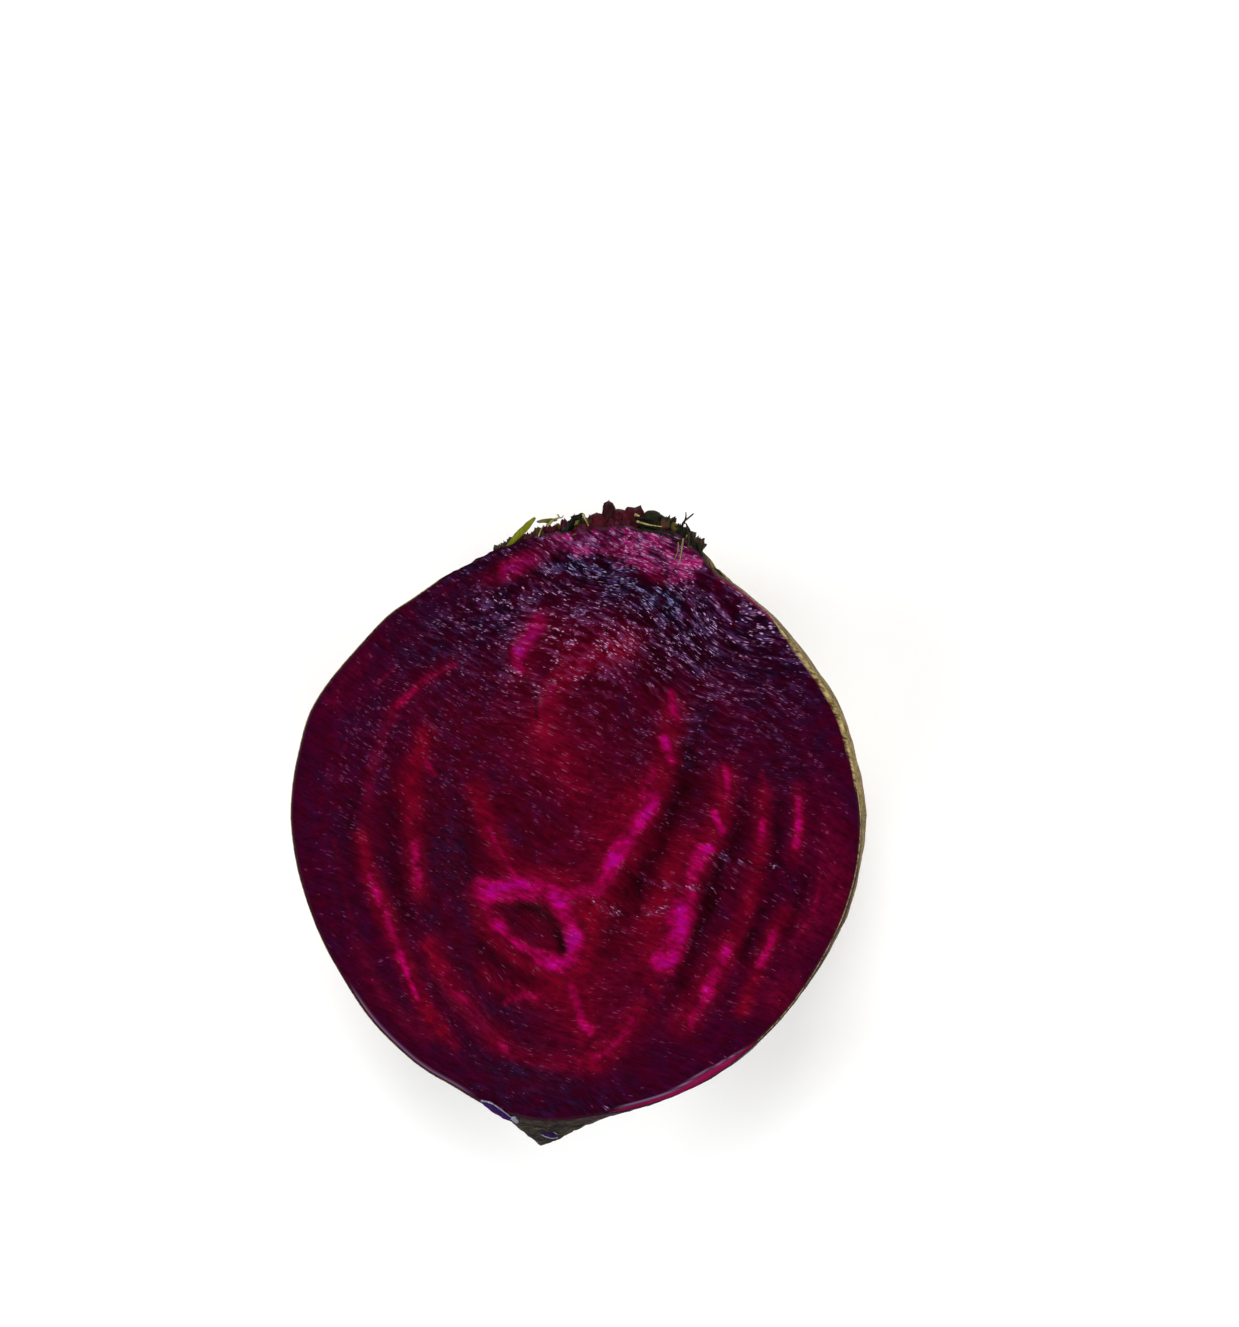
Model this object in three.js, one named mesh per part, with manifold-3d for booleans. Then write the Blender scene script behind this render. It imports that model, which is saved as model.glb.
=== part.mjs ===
// Half of a beetroot, split lengthwise from crown to root tip and lying on its back, cut face up.
// Millimetres. +Z is up, +Y runs from root tip to crown, and +X is to the right when the cut face is
// looked down on with the crown at the top. The origin is on the surface that the half rests on,
// under the middle of its outline.
//
// Two bodies: "root" is the swollen root with its cut face and its tail, grown as one piece, and
// "crown" is the short stem on top of it with the stumps of the leaf stalks that were cut off.
// Both are modelled with the cut at z = 0 and the widest level at y = 0, and are moved at the end.
import * as THREE from "three";
import { mergeVertices } from "three/addons/utils/BufferGeometryUtils.js";
import Module from "manifold-3d";

const wasm = await Module();
wasm.setup();

// ---- Driving dimensions -------------------------------------------------------------------------

// The root's profile, from root tip to crown. along: height on the long axis, counted from the
// widest level. half: half the width there. centre: how far the axis has wandered sideways.
const STATIONS = [
  { along: -47.4, half: 0.0, centre: -7.2 },
  { along: -46.0, half: 2.3, centre: -6.3 },
  { along: -44.2, half: 4.8, centre: -5.4 },
  { along: -42.2, half: 8.0, centre: -3.8 },
  { along: -38.6, half: 15.5, centre: -1.0 },
  { along: -33.4, half: 23.9, centre: -0.7 },
  { along: -25.2, half: 32.0, centre: -0.3 },
  { along: -13.0, half: 39.0, centre: 0.0 },
  { along: 0.0, half: 42.1, centre: -0.1 },
  { along: 12.0, half: 40.6, centre: -0.3 },
  { along: 20.0, half: 37.4, centre: -0.2 },
  { along: 29.6, half: 29.6, centre: 0.4 },
  { along: 33.6, half: 24.9, centre: 0.9 },
  { along: 37.5, half: 19.2, centre: 1.3 },
  { along: 40.4, half: 14.9, centre: 3.1 },
  { along: 42.8, half: 9.9, centre: 5.0 },
  { along: 44.4, half: 0.0, centre: 7.0 },
];
const PROFILE_TENSION = 0.5; // of the curve through the stations
const DEPTH_RATIO = 0.94; // front-to-back size of the whole root, as a share of its width
const CUT_OFFSET = 3; // the knife passed this far in front of the long axis
const REST_FLAT = 1.3; // how much of the back is flat, in depth, where the half rests on it
const TAIL_START = -34; // level below which the root bends away behind the cut
const TAIL_SPAN = 12;
const TAIL_DROP = 8.8; // how far behind its straight course the root has bent after that span
const TAIL_CURVE = 1.6; // the power of that bend

// Slow swellings of the back: size as a share of the radius, turns round the axis, turn per
// millimetre along it, and phase.
const LUMPS = [
  { size: 0.016, round: 2, wave: 0.055, phase: 0.7 },
  { size: 0.011, round: 3, wave: -0.09, phase: 2.1 },
  { size: 0.006, round: 5, wave: 0.16, phase: 4.0 },
];
const CREASE = { angle: 1.15, width: 0.13, depth: 0.02 }; // the groove that side roots grow from
const CREASE_FADE = { from: -6, to: 24 }; // it deepens over this stretch below the widest level

const RING_COUNT = 6; // growth rings that show on the cut
const RING_RELIEF = 0.22; // they stand this far above and below the plane of the cut
const RING_REACH = 0.93; // the outermost one, as a share of the way to the skin
const RING_STEPS = 4; // facets across a ring
const PITH = { x: -2, along: -8 }; // the point that the rings are nested round

// The crown is the top of the profile, down to a bowl-shaped floor: the bowl's middle and half sizes.
const CROWN = { x: 3.4, along: 47.4, width: 19.6, height: 10.6, depth: 17.6 };
const CROWN_GAP = 0.3;
const STUMP_COUNT = 34; // leaf stalks that grew on the whole crown, in a spiral
const STUMP_SPREAD = 0.74; // the outermost ones, as a share of the crown's half width
const STUMP_WIDTH = { inner: 4.0, outer: 7.6 };
const STUMP_THICK = { inner: 2.4, outer: 2.2 };
const STUMP_HEIGHT = { inner: 4.2, outer: 2.1 };
const STUMP_ROOT = 2.2; // sunk into the crown
const STUMP_LEAN = { inner: 0.1, outer: 0.95 }; // outward tilt, in radians
const STUMP_CURL = 0.08; // bend of the stalk's section round the middle of the crown
const STUMP_TAPER = 0.22; // how much narrower and thinner it is at its end
const STUMP_TEAR = 0.45; // unevenness of the torn end
const STUMP_NICKS = { broad: 3, fine: 5, fineShare: 0.6 }; // the waves round the torn end
const STUMP_UNEVEN = 0.3; // how much the stumps differ in height
const GOLDEN_ANGLE = Math.PI * (3 - Math.sqrt(5));

const ROUND_STEPS = 72; // facets round the root
const LEVEL_STEPS = 46; // facets from tip to crown
const FACE_STEPS = 54; // facets round the rings on the cut
const STUMP_SIDES = 8;
const BOWL_STEPS = { round: 40, level: 18 };
const POLE = 1e-3; // a section narrower than this is a point
const MERGE = 1e-4; // vertices closer than this are one
const OUTLINE_STEPS = 600; // samples of the outline, to measure how far the skin is from the pith
const TOP_STEPS = 200; // samples of the profile's top, to find how high the crown is
const TOP_SHARE = 0.2; // the part of the profile that they are taken from
const REACH = 4; // the knife's overhang, in times the way to the skin
const CLEAR = 120; // a height or width past the whole object

const FLESH = { color: 0x5c0a2e, roughness: 0.35, metalness: 0 };
const STALK = { color: 0x7a5a36, roughness: 0.8, metalness: 0 };

// ---- Helpers ------------------------------------------------------------------------------------

// A closed geometry as a manifold-3d solid.
function solidFrom(geometry) {
  const bare = geometry.clone();
  bare.deleteAttribute("normal");
  bare.deleteAttribute("uv");
  const merged = mergeVertices(bare, MERGE);
  return new wasm.Manifold(
    new wasm.Mesh({
      numProp: 3,
      vertProperties: new Float32Array(merged.attributes.position.array),
      triVerts: new Uint32Array(merged.index.array),
    }),
  );
}

// A solid as a named mesh.
function meshFrom(solid, name, look) {
  const made = solid.getMesh();
  const geometry = new THREE.BufferGeometry();
  geometry.setAttribute("position", new THREE.BufferAttribute(new Float32Array(made.vertProperties), 3));
  geometry.setIndex(new THREE.BufferAttribute(new Uint32Array(made.triVerts), 1));
  geometry.computeVertexNormals();
  const mesh = new THREE.Mesh(geometry, new THREE.MeshStandardMaterial(look));
  mesh.name = name;
  return mesh;
}

// Moves every vertex of a geometry to where place(vertex) says.
function reshape(geometry, place) {
  const position = geometry.attributes.position;
  const point = new THREE.Vector3();
  for (let i = 0; i < position.count; i++) {
    const moved = place(point.fromBufferAttribute(position, i));
    position.setXYZ(i, moved.x, moved.y, moved.z);
  }
  return geometry;
}

const lerp = THREE.MathUtils.lerp;
const clamp = THREE.MathUtils.clamp;

// ---- The root -----------------------------------------------------------------------------------

const profile = new THREE.CatmullRomCurve3(
  STATIONS.map((s) => new THREE.Vector3(s.half, s.along, s.centre)),
  false,
  "catmullrom",
  PROFILE_TENSION,
);

// The section at a share of the way from root tip to crown.
function sectionAt(share) {
  const point = profile.getPoint(clamp(share, 0, 1));
  return { half: Math.max(0, point.x), along: point.y, centre: point.z };
}

// How far the middle of the section lies behind the cut at a level.
function sinkAt(along) {
  const past = Math.max(0, (TAIL_START - along) / TAIL_SPAN);
  return CUT_OFFSET + TAIL_DROP * past ** TAIL_CURVE;
}

// The radius at an angle round the axis, as a share of the plain section's. The edges of the cut,
// at angles 0 and PI, keep their place.
function lumpAt(angle, along) {
  const back = angle < 0 ? Math.sin(angle) ** 2 : 0;
  const swell = LUMPS.reduce(
    (sum, l) => sum + l.size * Math.sin(l.round * angle + l.wave * along + l.phase),
    0,
  );
  const groove = CREASE.depth * Math.exp(-(((angle + CREASE.angle) / CREASE.width) ** 2));
  const low = THREE.MathUtils.smoothstep(-along, CREASE_FADE.from, CREASE_FADE.to);
  return 1 + back * (swell - groove * low);
}

// The whole root, thicker all over by a margin: a ball whose parallels become the profile's sections.
function wholeRoot(margin) {
  const ball = new THREE.SphereGeometry(1, ROUND_STEPS, LEVEL_STEPS);
  const place = (p) => {
    const section = sectionAt(1 - Math.acos(clamp(p.y, -1, 1)) / Math.PI);
    const angle = Math.atan2(p.z, p.x);
    const atPole = section.half < POLE;
    const radius = atPole ? 0 : section.half * lumpAt(angle, section.along) + margin;
    return new THREE.Vector3(
      section.centre + radius * Math.cos(angle),
      section.along,
      radius * DEPTH_RATIO * Math.sin(angle) - sinkAt(section.along),
    );
  };
  return solidFrom(reshape(ball, place));
}

// The outline of the cut as directions and distances from the pith, sorted by direction.
const outline = [];
for (let i = 0; i <= OUTLINE_STEPS; i++) {
  const section = sectionAt(i / OUTLINE_STEPS);
  for (const side of [-1, 1]) {
    const x = section.centre + side * section.half - PITH.x;
    const y = section.along - PITH.along;
    outline.push({ turn: Math.atan2(y, x), reach: Math.hypot(x, y) });
  }
}
outline.sort((a, b) => a.turn - b.turn);

// The distance from the pith to the skin in a direction.
function reachAt(turn) {
  const next = outline.findIndex((o) => o.turn >= turn);
  const after = outline[Math.max(next, 0)];
  const before = outline[next > 0 ? next - 1 : outline.length - 1];
  return (after.reach + before.reach) / 2;
}

// Height of the cut's surface at a share of the way from the pith to the skin.
function ringHeight(share) {
  if (share >= RING_REACH) return 0;
  return RING_RELIEF * Math.sin((2 * Math.PI * RING_COUNT * share) / RING_REACH);
}

// What the knife takes away: all that is in front of the cut, with the rings as waves in its face.
function knife() {
  const steps = RING_COUNT * RING_STEPS;
  const blade = [];
  for (let i = 0; i <= steps; i++) {
    const share = (RING_REACH * i) / steps;
    blade.push(new THREE.Vector2(share, ringHeight(share)));
  }
  blade.push(new THREE.Vector2(REACH, 0), new THREE.Vector2(REACH, CLEAR), new THREE.Vector2(0, CLEAR));
  const turned = new THREE.LatheGeometry(blade, FACE_STEPS);
  const place = (p) => {
    const share = Math.hypot(p.x, p.z);
    const turn = Math.atan2(-p.z, p.x);
    const reach = share * reachAt(turn);
    return new THREE.Vector3(PITH.x + reach * Math.cos(turn), PITH.along + reach * Math.sin(turn), p.y);
  };
  return solidFrom(reshape(turned, place));
}

// ---- The crown ----------------------------------------------------------------------------------

// The bowl that parts the crown from the root, wider all over by a margin.
function bowl(margin) {
  const ball = new THREE.SphereGeometry(1, BOWL_STEPS.round, BOWL_STEPS.level);
  ball.scale(CROWN.width + margin, CROWN.height + margin, CROWN.depth + margin);
  ball.translate(CROWN.x, CROWN.along, -CUT_OFFSET);
  return solidFrom(ball);
}

// The stump of one leaf stalk: a crescent in section, thinner and torn at its upper end. It stands
// on the XZ plane with its hollow side towards -Z.
function stump(index, share) {
  const width = lerp(STUMP_WIDTH.inner, STUMP_WIDTH.outer, share);
  const thick = lerp(STUMP_THICK.inner, STUMP_THICK.outer, share);
  const unevenness = 1 + STUMP_UNEVEN * Math.sin(index * GOLDEN_ANGLE);
  const height = lerp(STUMP_HEIGHT.inner, STUMP_HEIGHT.outer, share) * unevenness;
  const place = (p) => {
    const up = p.y + 0.5;
    const turn = Math.atan2(p.z, p.x);
    const broad = Math.sin(STUMP_NICKS.broad * turn + index);
    const fine = Math.sin(STUMP_NICKS.fine * turn - 2 * index);
    const torn = STUMP_TEAR * (broad + STUMP_NICKS.fineShare * fine) * 2 * Math.hypot(p.x, p.z);
    const taper = 1 - STUMP_TAPER * up;
    const x = p.x * width * taper;
    const y = up * (height + STUMP_ROOT + torn) - STUMP_ROOT;
    return new THREE.Vector3(x, y, p.z * thick * taper - STUMP_CURL * x * x);
  };
  return reshape(new THREE.CylinderGeometry(0.5, 0.5, 1, STUMP_SIDES, 2), place);
}

// The level of the crown's upper surface over a point, from the profile.
function crownTop(x, z) {
  for (let i = 0; i < TOP_STEPS; i++) {
    const section = sectionAt(1 - (TOP_SHARE * i) / TOP_STEPS);
    const out = Math.hypot(x - section.centre, (z + CUT_OFFSET) / DEPTH_RATIO);
    if (out <= section.half) return section.along;
  }
  return CROWN.along - CROWN.height;
}

// The top of the root with its stumps, set round it in a spiral, each one leaning outwards.
function wholeCrown(whole) {
  let crown = whole.intersect(bowl(0));
  for (let k = 0; k < STUMP_COUNT; k++) {
    const share = Math.sqrt((k + 0.5) / STUMP_COUNT);
    const turn = k * GOLDEN_ANGLE;
    const x = CROWN.x + share * STUMP_SPREAD * CROWN.width * Math.cos(turn);
    const z = share * STUMP_SPREAD * CROWN.depth * Math.sin(turn) - CUT_OFFSET;
    const pose = new THREE.Matrix4()
      .makeTranslation(x, crownTop(x, z), z)
      .multiply(new THREE.Matrix4().makeRotationY(Math.PI / 2 - turn))
      .multiply(new THREE.Matrix4().makeRotationX(lerp(STUMP_LEAN.inner, STUMP_LEAN.outer, share)));
    crown = crown.add(solidFrom(stump(k, share).applyMatrix4(pose)));
  }
  return crown.subtract(wholeRoot(CROWN_GAP).subtract(bowl(0)));
}

// ---- The half -----------------------------------------------------------------------------------

const whole = wholeRoot(0);
const lowest = whole.boundingBox().min[2];
const table = new THREE.BoxGeometry(CLEAR, CLEAR, CLEAR);
table.translate(0, 0, lowest + REST_FLAT - CLEAR / 2);
const front = new THREE.BoxGeometry(CLEAR, CLEAR, CLEAR);
front.translate(0, 0, CLEAR / 2);

const root = whole.subtract(knife()).subtract(solidFrom(table)).subtract(bowl(CROWN_GAP));
const crown = wholeCrown(whole).subtract(solidFrom(front));

const beetroot = new THREE.Group();
beetroot.add(meshFrom(root, "root", FLESH), meshFrom(crown, "crown", STALK));

const bounds = new THREE.Box3().setFromObject(beetroot);
const middle = bounds.getCenter(new THREE.Vector3());
beetroot.position.set(-middle.x, -middle.y, -bounds.min.z);

export default beetroot;
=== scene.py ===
"""The looks of half a beetroot, split lengthwise and lying on its back with the cut face up.

Sizes are in millimetres in the root's own frame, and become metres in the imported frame's place at
the end: x is to the right, along runs from the root tip to the crown, counted from the widest
level, and z stands out of the cut, which is at z = 0.
"""
import logging
import math
import random
from dataclasses import dataclass
from enum import Enum
from typing import Callable, Optional, Sequence, Union

import bmesh
import bpy
import numpy as np
from mathutils import Matrix, Vector, noise


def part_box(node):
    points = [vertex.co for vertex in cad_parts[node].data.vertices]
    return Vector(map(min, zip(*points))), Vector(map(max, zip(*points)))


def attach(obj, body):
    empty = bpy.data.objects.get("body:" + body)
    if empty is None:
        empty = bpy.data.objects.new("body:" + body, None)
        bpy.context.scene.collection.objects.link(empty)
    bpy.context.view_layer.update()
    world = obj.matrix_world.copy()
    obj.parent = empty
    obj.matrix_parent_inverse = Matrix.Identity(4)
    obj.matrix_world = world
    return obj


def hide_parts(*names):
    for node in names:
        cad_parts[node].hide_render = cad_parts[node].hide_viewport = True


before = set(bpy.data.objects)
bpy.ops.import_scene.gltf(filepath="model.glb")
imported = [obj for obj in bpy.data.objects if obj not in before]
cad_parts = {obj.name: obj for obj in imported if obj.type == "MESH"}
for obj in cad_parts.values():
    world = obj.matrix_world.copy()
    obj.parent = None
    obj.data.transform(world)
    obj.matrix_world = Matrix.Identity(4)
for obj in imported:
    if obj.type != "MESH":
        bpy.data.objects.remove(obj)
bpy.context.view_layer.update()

LOG = logging.getLogger("beetroot")
MM = 0.001
Colour = tuple[float, float, float, float]
Spot = tuple[float, float, float]
Pair = tuple[float, float]
Array = np.ndarray
Body = bmesh.types.BMesh
Piece = bpy.types.Object
Material = bpy.types.Material
Tree = bpy.types.NodeTree
Node = bpy.types.Node
Socket = bpy.types.NodeSocket
Input = Union[Node, Socket, float, str, Sequence[float]]


# ---- Helpers ----


def linear(code: str) -> Colour:
    """Turns an sRGB hex colour to linear.

    Args:
        code: The colour as "#rrggbb".

    Returns:
        Red, green, blue and an alpha of 1.
    """
    parts = [int(code[i : i + 2], 16) / 255 for i in (1, 3, 5)]
    red, green, blue = (p / 12.92 if p <= 0.04045 else ((p + 0.055) / 1.055) ** 2.4 for p in parts)
    return red, green, blue, 1.0


def smoothstep(low: float, high: float, value: Array) -> Array:
    """Rises smoothly from 0 at low to 1 at high."""
    t = np.clip((value - low) / (high - low), 0, 1)
    return t * t * (3 - 2 * t)


def rough_field(points: Array, size: Union[float, Sequence[float]], seed: float) -> Array:
    """Gives smooth noise, from about -1 to 1, with bumps of a size in millimetres."""
    scaled = points / np.asarray(size, float) + seed
    return np.array([noise.noise(p) for p in scaled.tolist()])


def smooth_line(points: Sequence[Sequence[float]], steps: int) -> Array:
    """Samples the smooth curve through some points.

    Args:
        points: The points, two or more.
        steps: Samples from one point to the next.

    Returns:
        The samples, from the first point to the last.
    """
    knots = np.array(points, float)
    knots = np.vstack([2 * knots[0] - knots[1], knots, 2 * knots[-1] - knots[-2]])
    t = np.linspace(0, 1, steps, endpoint=False)[:, None]
    spans = []
    for p0, p1, p2, p3 in zip(knots, knots[1:], knots[2:], knots[3:]):
        m1, m2 = (p2 - p0) / 2, (p3 - p1) / 2
        cubic = 2 * p1 - 2 * p2 + m1 + m2
        square = -3 * p1 + 3 * p2 - 2 * m1 - m2
        spans.append(((cubic * t + square) * t + m1) * t + p1)
    return np.vstack([*spans, knots[-2:-1]])


def plug(tree: Tree, socket: Socket, value: Input) -> None:
    """Feeds an input.

    Args:
        tree: The node tree.
        socket: The input.
        value: A node or a socket to link, or a number, a vector or a hex colour to set.
    """
    if isinstance(value, Node):
        value = value.outputs[0]
    if isinstance(value, Socket):
        tree.links.new(value, socket)
    else:
        socket.default_value = linear(value) if isinstance(value, str) else value


def add(
    tree: Tree,
    kind: str,
    inputs: Optional[dict[Union[str, int], Input]] = None,
    stops: Sequence[tuple[float, str]] = (),
    **settings: object,
) -> Node:
    """Adds a node with its settings and links.

    Args:
        tree: The node tree.
        kind: The node's type, without "ShaderNode".
        inputs: What goes in each input. A MapRange reads 0 between 1 and 2 and gives what lies
            between 3 and 4. A MixRGB gives 1 where 0 is none, and 2 where it is full.
        stops: Places and hex colours of a colour ramp.
        settings: The node's own properties.

    Returns:
        The node.
    """
    node = tree.nodes.new("ShaderNode" + kind)
    for name, value in settings.items():
        setattr(node, name, value)
    for key, value in (inputs or {}).items():
        plug(tree, node.inputs[key], value)
    for i, (place, code) in enumerate(stops):
        ramp = node.color_ramp
        stop = ramp.elements[i] if i < 2 else ramp.elements.new(place)
        stop.position = place
        stop.color = linear(code)
    return node


def blank(name: str, ior: float, sheen: float) -> tuple[Material, Node]:
    """Starts a material.

    Args:
        name: Its name.
        ior: Its index of refraction.
        sheen: The level of its reflection.

    Returns:
        The material, and a node that gives places on the piece in millimetres.
    """
    made = bpy.data.materials.new(name)
    made.use_nodes = True
    tree = made.node_tree
    shader = tree.nodes["Principled BSDF"]
    shader.inputs["IOR"].default_value = ior
    shader.inputs["Specular IOR Level"].default_value = sheen
    coord = add(tree, "TexCoord")
    mm = add(tree, "VectorMath", {0: coord.outputs["Object"], "Scale": 1 / MM}, operation="SCALE")
    return made, mm


def coat(made: Material, colour: Input, roughness: Input, height: Input, relief: float) -> None:
    """Joins what was drawn to a material's shader.

    Args:
        made: The material.
        colour: Its colour.
        roughness: Its roughness.
        height: Its fine relief, as a share.
        relief: How high that relief is, in millimetres.
    """
    tree = made.node_tree
    bump = add(tree, "Bump", {"Height": height, "Distance": relief * MM, "Strength": 1.0})
    shader = tree.nodes["Principled BSDF"]
    for name, value in {"Base Color": colour, "Roughness": roughness, "Normal": bump}.items():
        plug(tree, shader.inputs[name], value)


def show(name: str, data: bpy.types.ID) -> Piece:
    """Makes an object and puts it in the scene.

    Args:
        name: Its name.
        data: Its mesh, lamp or camera.

    Returns:
        The object.
    """
    made = bpy.data.objects.new(name, data)
    bpy.context.scene.collection.objects.link(made)
    return made


class Channel(Enum):
    """What is marked on the root's surface, as attributes that the finishes read."""

    MAGENTA = "magenta"  # the bright vascular rings
    CRIMSON = "crimson"  # the red glow beside them
    DEEP = "deep"  # dark red bands beside the rings, and painted shade in the crack and the eye's hollow
    GLOOM = "gloom"  # dense flesh that is nearly black and bluish
    PINK = "pink"  # the pale tissue under the stalks
    GLINT = "glint"  # how closely the painted glints of wet grains lie
    BLUE = "blue"  # where the painted glints are blue
    EDGE = "edge"  # millimetres from the rim, inwards on the cut and below zero on the skin
    RING = "ring"  # growth rings, counted from the pith
    COLLAR = "collar"  # scaly skin round the crown
    TAIL = "tail"  # wrinkled skin at the root tip
    PEEL = "peel"  # where a thin slice of skin came off
    LIP = "lip"  # the pale line where the skin curls over the cut
    BARK = "bark"  # where the skin itself shows in the cut
    JUICE = "juice"  # skin that juice from the cut has stained
    MOUND = "mound"  # the dark crust between the stumps


(
    MAGENTA, CRIMSON, DEEP, GLOOM, PINK, GLINT, BLUE, EDGE,
    RING, COLLAR, TAIL, PEEL, LIP, BARK, JUICE, MOUND,
) = Channel
SKIN_MARKS = (COLLAR, TAIL, JUICE, MOUND)
CUT_MARKS = [c for c in Channel if c not in SKIN_MARKS]


@dataclass(frozen=True)
class Stroke:
    """A streak on the cut: a smooth line through a few points, with soft sides."""

    channel: Channel
    points: tuple[Pair, ...]
    width: float
    strength: float
    steps: int = 8

    def mark(self, x: Array, along: Array) -> Array:
        """Gives its strength at some places, half as much at its sides as along its middle.

        Args:
            x: The places across the cut.
            along: Their levels.

        Returns:
            The strengths.
        """
        line = smooth_line(self.points, self.steps)
        nearest = np.full(len(x), np.inf)
        for a, b in zip(line, line[1:]):
            step = b - a
            share = ((x - a[0]) * step[0] + (along - a[1]) * step[1]) / max(step @ step, 1e-9)
            share = np.clip(share, 0, 1)
            off = np.hypot(x - a[0] - share * step[0], along - a[1] - share * step[1])
            nearest = np.minimum(nearest, off)
        return self.strength * np.exp(-((nearest / (self.width / 2)) ** 2) * math.log(2))


@dataclass(frozen=True)
class Patch:
    """A soft oval of one channel on the cut."""

    channel: Channel
    middle: Pair
    size: Pair
    turn: float
    strength: float
    firmness: float = 1.2  # the higher, the flatter its middle

    def mark(self, x: Array, along: Array) -> Array:
        """Gives its strength at some places, half as much at its rim as in its middle.

        Args:
            x: The places across the cut.
            along: Their levels.

        Returns:
            The strengths.
        """
        turn = math.radians(self.turn)
        dx, dy = x - self.middle[0], along - self.middle[1]
        u = (dx * math.cos(turn) + dy * math.sin(turn)) / (self.size[0] / 2)
        v = (dy * math.cos(turn) - dx * math.sin(turn)) / (self.size[1] / 2)
        return self.strength * np.exp(-((u * u + v * v) ** self.firmness) * math.log(2))


# ---- The root's form ----


@dataclass(frozen=True)
class RootForm:
    """The grown form of the root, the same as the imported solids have."""

    # Height on the long axis, half the width there, and how far the axis has wandered sideways.
    stations: tuple[Spot, ...] = (
        (-47.4, 0.0, -7.2), (-46.0, 2.3, -6.3), (-44.2, 4.8, -5.4), (-42.2, 8.0, -3.8),
        (-38.6, 15.5, -1.0), (-33.4, 23.9, -0.7), (-25.2, 32.0, -0.3), (-13.0, 39.0, 0.0),
        (0.0, 42.1, -0.1), (12.0, 40.6, -0.3), (20.0, 37.4, -0.2), (29.6, 29.6, 0.4),
        (33.6, 24.9, 0.9), (37.5, 19.2, 1.3), (40.4, 14.9, 3.1), (42.8, 9.9, 5.0), (44.4, 0.0, 7.0),
    )
    station_steps: int = 60
    depth_ratio: float = 0.94
    cut_offset: float = 3.0
    tail_start: float = -34.0
    tail_span: float = 12.0
    tail_drop: float = 8.8
    tail_curve: float = 1.6
    # Each swelling of the back: its share of the radius, its waves round the root, its waves along
    # it, and its phase.
    lumps: tuple[tuple[float, float, float, float], ...] = (
        (0.016, 2, 0.055, 0.7),
        (0.011, 3, -0.09, 2.1),
        (0.006, 5, 0.16, 4.0),
    )
    crease: Spot = (1.15, 0.13, 0.02)  # angle, width and depth
    crease_fade: Pair = (-6.0, 24.0)
    pith: Pair = (-2.0, -8.0)
    farthest: float = 75.0
    halvings: int = 30
    crown_edge: float = 30.0

    def profile(self) -> Array:
        """Gives close samples of the profile, as along, half and centre."""
        return smooth_line(self.stations, self.station_steps)

    def section(self, along: Array) -> tuple[Array, Array]:
        """Measures the section at some levels.

        Args:
            along: The levels.

        Returns:
            Half the width of each, which is nothing past the ends, and its middle.
        """
        levels, halves, centres = self.profile().T
        half = np.interp(along, levels, np.maximum(halves, 0), left=0, right=0)
        return half, np.interp(along, levels, centres)

    def sink(self, along: Array) -> Array:
        """Gives how far the middle of the section lies behind the cut."""
        past = np.maximum(0, (self.tail_start - along) / self.tail_span)
        return self.cut_offset + self.tail_drop * past**self.tail_curve

    def lump(self, angle: Array, along: Array) -> Array:
        """Gives the radius of the back as a share of the plain section's.

        Args:
            angle: Directions round the section, below zero on the back.
            along: Their levels.

        Returns:
            The shares.
        """
        back = np.where(angle < 0, np.sin(angle) ** 2, 0)
        swell = sum(s * np.sin(r * angle + w * along + p) for s, r, w, p in self.lumps)
        place, width, depth = self.crease
        groove = depth * np.exp(-(((angle + place) / width) ** 2))
        return 1 + back * (swell - groove * smoothstep(*self.crease_fade, -along))

    def outside(self, x: Array, along: Array, z: Array) -> Array:
        """Says which places are outside the root.

        Args:
            x: The places across.
            along: Their levels.
            z: Their heights over the cut.

        Returns:
            True for each one that is outside.
        """
        half, centre = self.section(along)
        safe = np.maximum(half, 1e-4)
        across, deep = (x - centre) / safe, (z + self.sink(along)) / (safe * self.depth_ratio)
        return np.hypot(across, deep) > self.lump(np.arctan2(deep, across), along)

    def reach(self, turn: Array, dip: Array) -> Array:
        """Measures from the pith, on the cut, to the skin.

        Args:
            turn: Directions on the cut, in radians.
            dip: Angles below the cut, in radians.

        Returns:
            The distances.
        """
        near = np.zeros(np.broadcast(turn, dip).shape)
        far = near + self.farthest
        across, up = np.cos(turn) * np.cos(dip), np.sin(turn) * np.cos(dip)
        for _ in range(self.halvings):
            middle = (near + far) / 2
            x, along = self.pith[0] + middle * across, self.pith[1] + middle * up
            out = self.outside(x, along, -middle * np.sin(dip))
            near, far = np.where(out, near, middle), np.where(out, middle, far)
        return (near + far) / 2

    def crown_top(self, x: float, z: float) -> float:
        """Measures how high the crown's upper surface stands.

        Args:
            x: A place across.
            z: Its height over the cut.

        Returns:
            The surface's level there, or the crown's edge where there is none.
        """
        levels, halves, centres = self.profile().T
        out = np.hypot(x - centres, (z + self.cut_offset) / self.depth_ratio) - halves
        inside = (out <= 0) & (levels > 0)
        return float(levels[inside].max()) if inside.any() else self.crown_edge


@dataclass(frozen=True)
class Place:
    """Carries the root's own frame, in millimetres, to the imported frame, in metres."""

    x: float
    along: float
    z: float

    @classmethod
    def from_frame(cls, form: RootForm) -> "Place":
        """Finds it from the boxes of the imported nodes.

        Args:
            form: The root's form.

        Returns:
            The place.
        """
        profile = form.profile()
        root_low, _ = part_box("root")
        _, crown_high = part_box("crown")
        left = (profile[:, 2] - profile[:, 1]).min()
        return cls(root_low.x / MM - left, root_low.y / MM - profile[0, 0], crown_high.z / MM)

    def matrix(self) -> Matrix:
        """Gives the whole change of frame as one matrix."""
        return Matrix.Scale(MM, 4) @ Matrix.Translation((self.x, self.along, self.z))


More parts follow.
